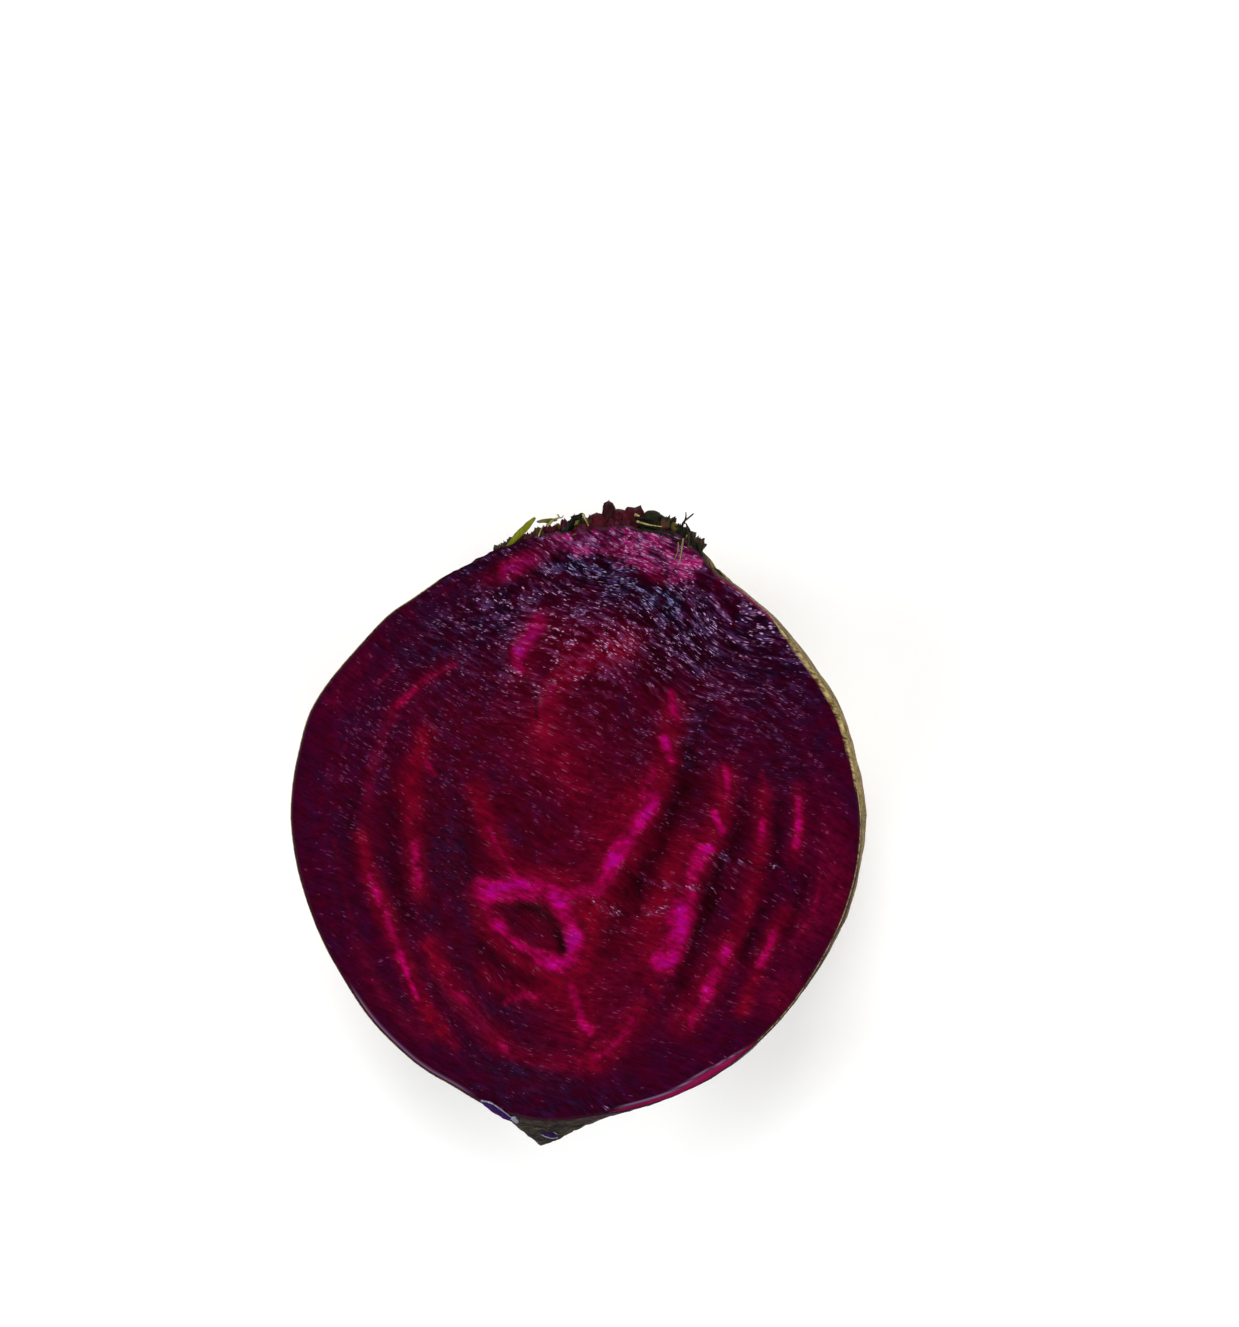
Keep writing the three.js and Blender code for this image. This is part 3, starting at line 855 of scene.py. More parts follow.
        # Near the crown, the painted shade in the pits and the painted light on the crests are stronger.
        pit_shade = add(tree, "MapRange", {0: on.torn, 3: 0.82, 4: 0.46})
        crest_light = add(tree, "MapRange", {0: on.torn, 3: 1.18, 4: 1.35})
        ridge_shade_and_light = add(tree, "MapRange", {0: on.rows, 1: 0.35, 2: 0.65, 3: pit_shade, 4: crest_light})
        furrow_shade = add(tree, "Math", {0: furrow_shade, 1: ridge_shade_and_light}, operation="MULTIPLY")
        colour = add(tree, "MixRGB", {0: 1.0, 1: colour, 2: furrow_shade}, blend_type="MULTIPLY")
        # A painted sheen along the wavy rows where the glints lie thickest.
        wet = add(tree, "Math", {0: on.rows, 1: 0.6, 2: on.grain}, operation="MULTIPLY_ADD")
        wet = add(tree, "MapRange", {0: wet, 1: 0.82, 2: 1.0, 4: 0.42})
        wet = add(tree, "Math", {0: on.torn, 1: wet}, operation="MULTIPLY")
        return add(tree, "MixRGB", {0: wet, 1: colour, 2: self.painted_sheen})

    def painted_glints(self, on: Patterns) -> Node:
        """Scatters painted glints on the torn grains, as short pale dashes in wavy rows along the grain.

        Args:
            on: The shared patterns.

        Returns:
            How brightly each place shines.
        """
        tree = on.tree
        glint = on.marks[GLINT]
        crowd = add(tree, "Math", {0: on.rows, 1: on.clump}, operation="ADD")
        crowd = add(tree, "MapRange", {0: crowd, 1: 0.92, 2: 1.13, 3: 0.04, 4: 1.85})
        fine = add(tree, "Math", {0: crowd, 1: glint}, operation="MULTIPLY")
        coarse = add(tree, "MapRange", {0: glint, 1: 0.1, 2: 0.3, 3: 0.01, 4: 0.13})
        coarse = add(tree, "Math", {0: crowd, 1: coarse}, operation="MULTIPLY")
        shown = None
        for turn, long, wide, is_coarse, power in self.dashes:
            laid = {
                "Vector": on.bent,
                "Location": (self.dash_shift[0] * turn, self.dash_shift[1] * turn, 0),
                "Rotation": (0, 0, math.radians(self.grain_turn + turn)),
                "Scale": (long, wide, 1.0),
            }
            laid = add(tree, "Mapping", laid, vector_type="TEXTURE")
            cells = add(tree, "TexVoronoi", {"Vector": laid, "Scale": 1.0}, voronoi_dimensions="2D")
            dash = {0: cells.outputs["Distance"], 1: 0.12, 2: 0.5, 3: 1.0, 4: 0.0}
            dash = add(tree, "MapRange", dash, interpolation_type="SMOOTHSTEP")
            luck = add(tree, "SeparateColor", {"Color": cells.outputs["Color"]})
            often = coarse if is_coarse else fine
            picked = add(tree, "Math", {0: luck, 1: often}, operation="LESS_THAN")
            bright = add(tree, "Math", {0: dash, 1: picked}, operation="MULTIPLY")
            vary = add(tree, "Math", {0: luck.outputs[1], 1: power}, operation="POWER")
            bright = add(tree, "Math", {0: bright, 1: vary}, operation="MULTIPLY")
            if shown:
                bright = add(tree, "Math", {0: shown, 1: bright}, operation="MAXIMUM")
            shown = bright
        return shown

    def paint_glints(self, on: Patterns, colour: Node, painted_glints: Node) -> Node:
        """Paints highlights on the torn grains, brightest near the crown and blue in one band.

        Args:
            on: The shared patterns.
            colour: The colour so far.
            painted_glints: How brightly each place shines.

        Returns:
            The new colour.
        """
        tree = on.tree
        tone = add(tree, "MapRange", {0: painted_glints, 1: 0.2, 2: 0.75, 3: 0.15})
        tone = add(tree, "Math", {0: on.torn, 1: tone}, operation="MULTIPLY")
        shine = add(tree, "MixRGB", {0: tone, 1: self.glint_highlight_dim, 2: self.glint_highlight})
        blue = on.marks[BLUE]
        shine = add(tree, "MixRGB", {0: blue, 1: shine, 2: self.glint_highlight_blue})
        cover = add(tree, "MapRange", {0: on.torn, 3: 0.6, 4: 0.85})
        cover = add(tree, "Math", {0: painted_glints, 1: cover}, operation="MULTIPLY")
        return add(tree, "MixRGB", {0: cover, 1: colour, 2: shine})

    def edges(self, on: Patterns, colour: Node) -> Node:
        """Finishes the rim: a dark line, the cut edge of the skin, and the sliced facet.

        Args:
            on: The shared patterns.
            colour: The colour so far.

        Returns:
            The new colour.
        """
        tree, marks = on.tree, on.marks
        near = {0: marks[EDGE], 1: 0.15, 2: 0.6, 3: 0.7, 4: 0.0}
        near = add(tree, "MapRange", near, interpolation_type="SMOOTHSTEP")
        colour = add(tree, "MixRGB", {0: near, 1: colour, 2: self.rim})
        mottle = add(tree, "Math", {0: on.clump, 1: 0.7, 2: on.grain}, operation="MULTIPLY_ADD")
        mottle = add(tree, "MapRange", {0: mottle, 1: 0.72, 2: 0.98})
        bark = add(tree, "MixRGB", {0: mottle, 1: self.bark_dark, 2: self.bark_pale})
        sliced = add(tree, "MixRGB", {0: on.clump, 1: self.slice_dark, 2: self.slice_pale})
        for channel, shade in ((BARK, bark), (PEEL, sliced), (LIP, self.lip)):
            colour = add(tree, "MixRGB", {0: marks[channel], 1: colour, 2: shade})
        return colour


@dataclass(frozen=True)
class RootSkin:
    """Dry beetroot skin, brushed clean of soil.

    A thin cork, tan to olive, cracked into a fine net of cells, with rusty and purple stains, dark
    soil in its fissures and small golden breathing pores.
    """

    name: str = "dry_beetroot_skin"
    ior: float = 1.45
    sheen: float = 0.04
    tan: str = "#917a50"
    olive: str = "#83774a"
    rust: str = "#8f6c4c"
    mauve: str = "#8d7076"
    brown: str = "#4e3d28"
    grey: str = "#504a4b"
    soil: str = "#2a2019"
    gold: str = "#b09450"
    straw: str = "#8f7a42"
    juice: str = "#26081a"
    crust_dark: str = "#0c0a08"
    crust_pale: str = "#3a3020"
    scars: tuple[tuple[float, str], ...] = (
        (0.36, "#231c1a"), (0.5, "#46341f"), (0.62, "#4c4658"), (0.7, "#5a1834"),
    )
    shrivelled: tuple[tuple[float, str], ...] = (
        (0.36, "#1b1026"), (0.45, "#120d0b"), (0.52, "#2b2218"), (0.6, "#3a3224"),
        (0.72, "#4c462e"),
    )
    cell: float = 1.35
    fissure_size: Spot = (2.6, 0.42, 2.6)
    hairline_size: Spot = (3.4, 0.24, 3.4)
    scar_size: Spot = (1.9, 0.55, 1.9)
    fold_turn: Spot = (0.0, 0.2, 0.45)
    fold_size: Spot = (1.8, 0.55, 0.5)
    relief: float = 0.16

    def material(self) -> Material:
        """Makes the material.

        Returns:
            The material.
        """
        made, mm = blank(self.name, self.ior, self.sheen)
        tree = made.node_tree
        marks = {c: add(tree, "Attribute", attribute_name=c.value).outputs["Fac"] for c in SKIN_MARKS}
        warp = add(tree, "TexNoise", {"Vector": mm, "Scale": 0.35, "Detail": 2.0})
        bent = add(tree, "VectorMath", {0: warp.outputs["Color"], "Scale": 1.6}, operation="SCALE")
        bent = add(tree, "VectorMath", {0: bent, 1: mm}, operation="ADD")
        mottle = add(tree, "TexNoise", {"Vector": mm, "Scale": 0.3, "Detail": 5.0, "Roughness": 0.7})
        speckle = add(tree, "TexNoise", {"Vector": mm, "Scale": 1.6, "Detail": 4.0, "Roughness": 0.75})

        colour = self.stains(tree, mm)
        dark = add(tree, "MapRange", {0: mottle, 1: 0.47, 2: 0.7, 4: 0.75})
        colour = add(tree, "MixRGB", {0: dark, 1: colour, 2: self.brown})
        grit = add(tree, "MapRange", {0: speckle, 1: 0.34, 2: 0.66, 3: 0.42, 4: 1.55})
        colour = add(tree, "MixRGB", {0: 1.0, 1: colour, 2: grit}, blend_type="MULTIPLY")
        net = self.net(tree, bent, mottle)
        slit = self.fissures(tree, mm)
        pores = self.pores(tree, bent)
        for cover, shade in ((net, self.soil), (slit, self.soil), (pores, self.gold)):
            colour = add(tree, "MixRGB", {0: cover, 1: colour, 2: shade})
        colour, scaly = self.crown_collar(tree, mm, marks[COLLAR], colour)
        shrunk = {"Vector": mm, "Rotation": self.fold_turn, "Scale": self.fold_size}
        shrunk = add(tree, "Mapping", shrunk, vector_type="TEXTURE")
        folds = add(tree, "TexNoise", {"Vector": shrunk, "Scale": 1.0, "Detail": 4.0, "Distortion": 0.6})
        tail = add(tree, "ValToRGB", {"Fac": folds}, self.shrivelled)
        wet = add(tree, "Math", {0: marks[JUICE], 1: 0.92}, operation="MULTIPLY")
        crust = add(tree, "MixRGB", {0: speckle, 1: self.crust_dark, 2: self.crust_pale})
        for cover, shade in ((marks[TAIL], tail), (wet, self.juice), (marks[MOUND], crust)):
            colour = add(tree, "MixRGB", {0: cover, 1: colour, 2: shade})

        height = speckle
        folded = add(tree, "Math", {0: folds, 1: marks[TAIL]}, operation="MULTIPLY")
        for form, share in ((net, -0.5), (slit, -0.8), (pores, 0.7), (scaly, 1.2), (folded, 3.0)):
            height = add(tree, "Math", {0: form, 1: share, 2: height}, operation="MULTIPLY_ADD")
        rough = add(tree, "MapRange", {0: mottle, 1: 0.3, 2: 0.7, 3: 0.62, 4: 0.9})
        coat(made, colour, rough, height, self.relief)
        return made

    def stains(self, tree: Tree, mm: Node) -> Node:
        """Draws the slow changes of colour: tan and olive, rust and mauve, and grey at the tip.

        Args:
            tree: The node tree.
            mm: Places in millimetres.

        Returns:
            The colour.
        """
        wide = add(tree, "TexNoise", {"Vector": mm, "Scale": 0.045, "Detail": 3.0, "Roughness": 0.6})
        mixed = add(tree, "MapRange", {0: wide, 1: 0.38, 2: 0.62})
        colour = add(tree, "MixRGB", {0: mixed, 1: self.olive, 2: self.tan})
        moved = add(tree, "Mapping", {"Vector": mm, "Location": (80.0, 10.0, 40.0)})
        blush = add(tree, "TexNoise", {"Vector": moved, "Scale": 0.05, "Detail": 4.0, "Roughness": 0.65})
        stained = add(tree, "MapRange", {0: blush, 1: 0.5, 2: 0.68, 4: 0.75})
        rusty = add(tree, "MapRange", {0: blush, 1: 0.46, 2: 0.3, 4: 0.7})
        level = add(tree, "SeparateXYZ", {"Vector": mm}).outputs[1]
        level = add(tree, "Math", {0: wide, 1: 30.0, 2: level}, operation="MULTIPLY_ADD")
        low = add(tree, "MapRange", {0: level, 1: 6.0, 2: -14.0, 4: 0.85})
        for cover, shade in ((stained, self.mauve), (rusty, self.rust), (low, self.grey)):
            colour = add(tree, "MixRGB", {0: cover, 1: colour, 2: shade})
        return colour

    def net(self, tree: Tree, bent: Node, mottle: Node) -> Node:
        """Draws the net of fine cracks, worn away in places.

        Args:
            tree: The node tree.
            bent: Places in millimetres, bent a little.
            mottle: Where the skin is worn.

        Returns:
            How deep the cracks are.
        """
        size = 1 / self.cell
        cells = add(tree, "TexVoronoi", {"Vector": bent, "Scale": size}, feature="DISTANCE_TO_EDGE")
        crack = add(tree, "MapRange", {0: cells, 2: 0.12, 3: 1.0, 4: 0.0})
        worn = add(tree, "MapRange", {0: mottle, 1: 0.38, 2: 0.64, 3: 0.04, 4: 0.5})
        return add(tree, "Math", {0: crack, 1: worn}, operation="MULTIPLY")

    def fissures(self, tree: Tree, mm: Node) -> Node:
        """Draws short dark cracks that run round the root, where it outgrew its skin.

        Args:
            tree: The node tree.
            mm: Places in millimetres.

        Returns:
            How deep the cracks are.
        """
        flat = add(tree, "Mapping", {"Vector": mm, "Scale": self.fissure_size}, vector_type="TEXTURE")
        deep = add(tree, "TexNoise", {"Vector": flat, "Scale": 1.0, "Detail": 3.0, "Roughness": 0.6})
        deep = add(tree, "MapRange", {0: deep, 1: 0.64, 2: 0.72, 4: 0.75})
        thin = add(tree, "Mapping", {"Vector": mm, "Scale": self.hairline_size}, vector_type="TEXTURE")
        lines = add(tree, "TexNoise", {"Vector": thin, "Scale": 1.0, "Detail": 2.0})
        lines = add(tree, "MapRange", {0: lines, 1: 0.56, 2: 0.68, 4: 0.4})
        return add(tree, "Math", {0: deep, 1: lines}, operation="MAXIMUM")

    def pores(self, tree: Tree, bent: Node) -> Node:
        """Scatters the raised golden pores.

        Args:
            tree: The node tree.
            bent: Places in millimetres, bent a little.

        Returns:
            How high the pores stand.
        """
        cells = add(tree, "TexVoronoi", {"Vector": bent, "Scale": 1 / self.cell})
        luck = add(tree, "SeparateColor", {"Color": cells.outputs["Color"]})
        picked = add(tree, "Math", {0: luck, 1: 0.12}, operation="LESS_THAN")
        dot = add(tree, "MapRange", {0: cells.outputs["Distance"], 1: 0.36, 2: 0.14, 4: 0.7})
        return add(tree, "Math", {0: dot, 1: picked}, operation="MULTIPLY")

    def crown_collar(self, tree: Tree, mm: Node, collar: Socket, colour: Node) -> tuple[Node, Node]:
        """Adds the scars of old leaves round the crown, as straw-coloured scales over dark gaps.

        Args:
            tree: The node tree.
            mm: Places in millimetres.
            collar: Where the scales are.
            colour: The colour so far.

        Returns:
            The new colour, and how high the scales stand.
        """
        flat = add(tree, "Mapping", {"Vector": mm, "Scale": self.scar_size}, vector_type="TEXTURE")
        rows = add(tree, "TexNoise", {"Vector": flat, "Scale": 1.0, "Detail": 4.0, "Roughness": 0.7})
        straw = add(tree, "MapRange", {0: rows, 1: 0.4, 2: 0.68})
        hues = add(tree, "TexNoise", {"Vector": mm, "Scale": 0.35, "Detail": 3.0})
        gaps = add(tree, "ValToRGB", {"Fac": hues}, self.scars)
        scales = add(tree, "MixRGB", {0: straw, 1: gaps, 2: self.straw})
        scaly = add(tree, "Math", {0: straw, 1: collar}, operation="MULTIPLY")
        return add(tree, "MixRGB", {0: collar, 1: colour, 2: scales}), scaly


@dataclass(frozen=True)
class StalkTissue:
    """Leaf-stalk stumps and scraps of skin, cut short and dried.

    Their sides have gone brown to blue-black, and their torn ends still show wine-red and pink.
    """

    name: str
    sides: tuple[str, ...]
    end: str
    end_pale: str
    roughness: float
    ior: float = 1.42
    sheen: float = 0.08
    fibre_size: Spot = (0.4, 2.2, 0.4)
    relief: float = 0.25

    def material(self) -> Material:
        """Makes the material.

        Returns:
            The material.
        """
        made, mm = blank(self.name, self.ior, self.sheen)
        tree = made.node_tree
        tint = add(tree, "Attribute", attribute_name="tint").outputs["Fac"]
        tip = add(tree, "Attribute", attribute_name="tip").outputs["Fac"]
        fibres = add(tree, "Mapping", {"Vector": mm, "Scale": self.fibre_size}, vector_type="TEXTURE")
        grain = add(tree, "TexNoise", {"Vector": fibres, "Scale": 1.0, "Detail": 4.0, "Roughness": 0.65})
        shift = add(tree, "Math", {0: grain, 1: tint}, operation="ADD")
        shift = add(tree, "MapRange", {0: shift, 1: 0.5, 2: 1.5})
        last = len(self.sides) - 1
        side = add(tree, "ValToRGB", {"Fac": shift}, [(i / last, s) for i, s in enumerate(self.sides)])
        end = add(tree, "MixRGB", {0: grain, 1: self.end, 2: self.end_pale})
        torn = add(tree, "Math", {0: grain, 1: 0.5, 2: tip}, operation="MULTIPLY_ADD")
        torn = add(tree, "MapRange", {0: torn, 1: 1.0, 2: 1.5})
        colour = add(tree, "MixRGB", {0: torn, 1: side, 2: end})
        value = add(tree, "MapRange", {0: grain, 1: 0.3, 2: 0.7, 3: 0.5, 4: 1.4})
        colour = add(tree, "MixRGB", {0: 1.0, 1: colour, 2: value}, blend_type="MULTIPLY")
        coat(made, colour, self.roughness, grain, self.relief)
        return made


# Stumps that dried brown and blue-black, dull as bark.
DRIED_STUMPS = StalkTissue(
    name="dried_stalk_stumps",
    sides=("#14120e", "#2e2a1a", "#1c1c24", "#453018", "#23202c", "#3c3a22", "#3c1018"),
    end="#2a1c12",
    end_pale="#5e4426",
    roughness=0.6,
)
# Scars that a knife left, smooth and still a little wet.
STALK_WOUNDS = StalkTissue("cut_stalk_wounds", ("#0c0c14", "#191a2a", "#280e20"), "#260c1e", "#463a54", 0.4)
# Fresh stumps, torn, wine-red to nearly black.
TORN_STUMPS = StalkTissue(
    name="torn_stalk_stumps",
    sides=("#1e0407", "#420916", "#2a070e", "#4e0f24"),
    end="#180408",
    end_pale="#561a2e",
    roughness=0.5,
)
# Stumps long dead, black with an olive tinge.
DEAD_STUMPS = StalkTissue("dead_stalk_stumps", ("#0b0e0a", "#2c2a14"), "#120f0c", "#3a3420", 0.5)
# Threads of dead stalk, nearly black with rusty ends.
DARK_FIBRES = StalkTissue("dark_dry_fibres", ("#0b0e0b", "#34341a"), "#2c120e", "#5a2a22", 0.5)
# Threads bleached to the colour of straw.
STRAW_FIBRES = StalkTissue("straw_coloured_fibres", ("#5c5430", "#968a58"), "#7c6f40", "#b0a070", 0.6)
# Papery scraps of leaf stalk, yellow-green to brown.
PAPERY_FLAKES = StalkTissue("dry_papery_flakes", ("#686c14", "#4c3e1e"), "#6a6820", "#80703a", 0.6)
# Thin dry scales of many straw and earth colours.
COLLAR_SCALES = StalkTissue(
    name="dry_collar_scales",
    sides=("#8e7c3e", "#54422a", "#a49456", "#3c2c1c", "#7c6a38", "#6a4a2c", "#988a50"),
    end="#8e7c48",
    end_pale="#b0a068",
    roughness=0.7,
)
# Curled husks, rusty and amber.
RUSTY_HUSKS = StalkTissue(
    name="rusty_husks",
    sides=("#5c3414", "#a07c24", "#7c2c1c", "#8c6c34", "#3a2412"),
    end="#7c5424",
    end_pale="#b08c3c",
    roughness=0.6,
)
# Slivers of skin soaked in juice, deep violet, and the pale rims where they curled and dried.
VIOLET_SLIVERS = StalkTissue("violet_skin_slivers", ("#1e083c", "#3a1450"), "#2a0c48", "#4a2060", 0.45)
PALE_RIMS = StalkTissue("pale_sliver_rims", ("#6c5884", "#8c90a0"), "#8478a0", "#a4a8b4", 0.5)


# ---- Growing pieces ----


class Cluster:
    """Gathers small closed bodies into one mesh, with a tint and a tip value on each point."""

    def __init__(self, name: str) -> None:
        """Starts an empty cluster.

        Args:
            name: The piece's name.
        """
        self.name = name
        self.mesh = bmesh.new()
        self.tint = self.mesh.verts.layers.float.new("tint")
        self.tip = self.mesh.verts.layers.float.new("tip")

    def take(self, body: Body, tint: float) -> None:
        """Adds a body.

        Args:
            body: The body, in the root's own frame, with its "up" marked. It is used up.
            tint: A number that tells it from the others.
        """
        marked = body.verts.layers.float["up"]
        ups = [v[marked] for v in body.verts]
        bmesh.ops.recalc_face_normals(body, faces=body.faces)
        held = bpy.data.meshes.new(self.name + "_body")
        body.to_mesh(held)
        body.free()
        first = len(self.mesh.verts)
        self.mesh.from_mesh(held)
        bpy.data.meshes.remove(held)
        self.mesh.verts.ensure_lookup_table()
        for i, up in enumerate(ups):
            vert = self.mesh.verts[first + i]
            vert[self.tint] = tint
            vert[self.tip] = up

    def finish(self, material: Material) -> Piece:
        """Makes the object, smooth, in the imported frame.

        Args:
            material: Its finish.

        Returns:
            The object.
        """
        bmesh.ops.transform(self.mesh, matrix=PLACE.matrix(), verts=self.mesh.verts)
        mesh = bpy.data.meshes.new(self.name)
        self.mesh.to_mesh(mesh)
        self.mesh.free()
        mesh.materials.append(material)
        mesh.polygons.foreach_set("use_smooth", [True] * len(mesh.polygons))
        return show(self.name, mesh)


def stem_body(sides: int, levels: int, shape: Callable[[float, float, float], Vector]) -> Body:
    """Makes a closed stem: a cylinder whose points go where a formula says.

    Args:
        sides: Facets round it.
        levels: Facets along it.
        shape: Gives a point from its share of the way up, its turn round the stem and its share of
            the way out.

    Returns:
        The stem.
    """
    body = bmesh.new()
    bmesh.ops.create_cone(body, cap_ends=True, segments=sides, radius1=1, radius2=1, depth=1)
    upright = [e for e in body.edges if abs(e.verts[0].co.z - e.verts[1].co.z) > 0.5]
    bmesh.ops.subdivide_edges(body, edges=upright, cuts=levels - 1, use_grid_fill=True)
    caps = [f for f in body.faces if abs(f.normal.z) > 0.9]
    bmesh.ops.poke(body, faces=caps)
    marked = body.verts.layers.float.new("up")
    for vert in body.verts:
        up, out = vert.co.z + 0.5, min(1.0, math.hypot(vert.co.x, vert.co.y))
        vert.co = shape(up, math.atan2(vert.co.y, vert.co.x), out)
        vert[marked] = up
    return body


def strip_body(across: int, levels: int, thick: float, shape: Callable[[float, float], Vector]) -> Body:
    """Makes a thin closed strip.

    Args:
        across: Facets across it.
        levels: Facets along it.
        thick: Its thickness.
        shape: Gives a point from its share of the way up and its place across, from -1 to 1.

    Returns:
        The strip.
    """
    body = bmesh.new()
    bmesh.ops.create_grid(body, x_segments=across, y_segments=levels, size=1)
    marked = body.verts.layers.float.new("up")
    for vert in body.verts:
        vert[marked] = (vert.co.y + 1) / 2
        vert.co = shape(vert[marked], vert.co.x)
    bmesh.ops.solidify(body, geom=body.faces, thickness=thick)
    return body


def ball_mesh(name: str, columns: int, rows: int) -> tuple[bpy.types.Mesh, Array, Array]:
    """Makes a closed ball out of a grid, wrapped round until its sides and ends meet.

    Args:
        name: The mesh's name.
        columns: Facets round it.
        rows: Facets from its top to its bottom.

    Returns:
        The mesh, and the column and the row of each of its points.
    """
    body = bmesh.new()
    bmesh.ops.create_grid(body, x_segments=columns, y_segments=rows, size=1)
    for vert in body.verts:
        turn, dip = (vert.co.x + 1) * math.pi, (vert.co.y + 1) * math.pi / 2
        flat = math.sin(dip)
        vert.co = (flat * math.cos(turn), flat * math.sin(turn), math.cos(dip))
    bmesh.ops.remove_doubles(body, verts=body.verts, dist=1e-5)
    bmesh.ops.recalc_face_normals(body, faces=body.faces)
    mesh = bpy.data.meshes.new(name)
    body.to_mesh(mesh)
    body.free()
    ball = np.zeros(len(mesh.vertices) * 3)
    mesh.vertices.foreach_get("co", ball)
    x, y, z = ball.reshape(-1, 3).T
    row = np.rint(np.arccos(np.clip(z, -1, 1)) / math.pi * rows).astype(int)
    column = np.rint(np.arctan2(y, x) / (2 * math.pi) * columns).astype(int) % columns
    return mesh, column, row


@dataclass
class BeetHalf:
    """The swollen root: its cut face, the skin on its back, its dome and its tail, in one mesh.

    The mesh is a ball wrapped round the pith. Its upper rows lie on the cut, from the pith to the
    rim, and its lower rows on the back.
    """

    form: RootForm
    columns: int = 460
    face_rows: int = 148
    back_rows: int = 66
    rim_shares: tuple[float, ...] = (0.985, 0.991, 0.996, 1.0)
    last_share: float = 0.979  # of the evenly spaced rows, before those at the rim
    rings: float = 6.0
    ring_reach: float = 0.93
    ring_relief: float = 0.022
    name: str = "beetroot_half"

    def turns(self) -> Array:
        """Lays out the columns, closest together at the crown and the tail.

        Returns:
            Their directions on the cut.
        """
        fine = np.linspace(-math.pi, math.pi, 6001)
        reach = self.form.reach(fine, np.zeros(1))
        x, along = reach * np.cos(fine), self.form.pith[1] + reach * np.sin(fine)
        middle = (along[1:] + along[:-1]) / 2
        weight = 1 + 0.7 * smoothstep(32, 38, middle) + 0.9 * smoothstep(34, 39, -middle)
        length = np.concatenate([[0], np.cumsum(np.hypot(np.diff(x), np.diff(along)) * weight)])
        wanted = np.arange(self.columns) * length[-1] / self.columns
        return np.interp(wanted, length, fine)

    def shares(self) -> Array:
        """Gives the rows of the face as shares of the way from the pith to the rim."""
        even = np.linspace(0, self.last_share, self.face_rows + 1 - len(self.rim_shares))
        return np.concatenate([even, self.rim_shares])

    def dips(self) -> Array:
        """Gives the rows of the back as angles below the cut, closer together near the rim."""
        t = np.arange(1, self.back_rows + 1) / self.back_rows
        return (0.72 * t + 0.28 * t * t) * math.pi / 2

    def rag(self, turns: Array, along: Array) -> Array:
        """Tears the rim a little, most of all at the crown.

        Args:
            turns: Directions on the cut.
            along: The levels of the rim there.

        Returns:
            How far the rim stands in or out, in millimetres.
        """
        ring = np.stack([np.cos(turns) * 40, np.sin(turns) * 40, np.zeros(len(turns))], 1)
        torn = 0.5 * rough_field(ring, 2.2, 3.1) + 0.28 * rough_field(ring, 0.8, 8.4)
        slow = 0.12 * rough_field(ring, 6.0, 5.2)
        return torn * smoothstep(35, 40, along) + slow

    def build(self) -> Piece:
        """Builds the mesh and marks its surface.

        Returns:
            The object.
        """
        turns, shares, dips = self.turns(), self.shares(), self.dips()
        rim = self.form.reach(turns, np.zeros(1))
        rag = self.rag(turns, self.form.pith[1] + rim * np.sin(turns))
        rim = rim + rag
        back = self.form.reach(turns[None, :], dips[:, None])
        back = back + rag[None, :] * (1 - smoothstep(0, 0.5, dips))[:, None]

        mesh, column, row = ball_mesh(self.name, self.columns, self.face_rows + self.back_rows)
        on_face = row <= self.face_rows
        share = shares[np.minimum(row, self.face_rows)]
        back_row = np.clip(row - self.face_rows - 1, 0, self.back_rows - 1)
        turn = turns[column]
        dip = np.where(on_face, 0, dips[back_row])
        out = np.where(on_face, share * rim[column], back[back_row, column])
        out = out + np.where(on_face, 0, self.swell(self.points(turn, dip, out), dip))
        points = self.points(turn, dip, out)
        marks = self.marks(points, share, row, rim[column])
        points[:, 2] += np.where(on_face, self.relief(points, share, marks), 0)
        points[:, 2] = np.maximum(points[:, 2], -PLACE.z)

        placed = (points + np.array([PLACE.x, PLACE.along, PLACE.z])) * MM
        mesh.vertices.foreach_set("co", placed.ravel())
        for channel, values in marks.items():
            layer = mesh.attributes.new(channel.value, "FLOAT", "POINT")
            layer.data.foreach_set("value", values.astype(np.float32))
        self.part_surfaces(mesh, row)
        return show(self.name, mesh)

    def points(self, turn: Array, dip: Array, out: Array) -> Array:
        """Finds places from the pith.

        Args:
            turn: Their directions on the cut.
            dip: Their angles below it.
            out: Their distances.

        Returns:
            The places, one a row.
        """
        x = self.form.pith[0] + out * np.cos(turn) * np.cos(dip)
        along = self.form.pith[1] + out * np.sin(turn) * np.cos(dip)
        return np.stack([x, along, -out * np.sin(dip)], 1)

    def swell(self, points: Array, dip: Array) -> Array:
        """Makes the skin uneven, but not at the rim.

        Args:
            points: Places on the smooth form.
            dip: Their angles below the cut.

        Returns:
            How far each one moves out, in millimetres.
        """
        broad = 0.28 * rough_field(points, 9.0, 2.7)
        small = 0.12 * rough_field(points, 2.8, 6.1)
        bands = 0.10 * rough_field(points, (14.0, 1.6, 14.0), 4.4)
        tail = smoothstep(38, 43, -points[:, 1])
        wrinkles = tail * 0.35 * rough_field(points, (1.1, 3.5, 1.1), 9.3)
        dome = smoothstep(36, 40, points[:, 1]) * 0.45 * rough_field(points, 1.7, 1.9)
        return (broad + small + bands + wrinkles + dome) * smoothstep(0, 0.12, dip)

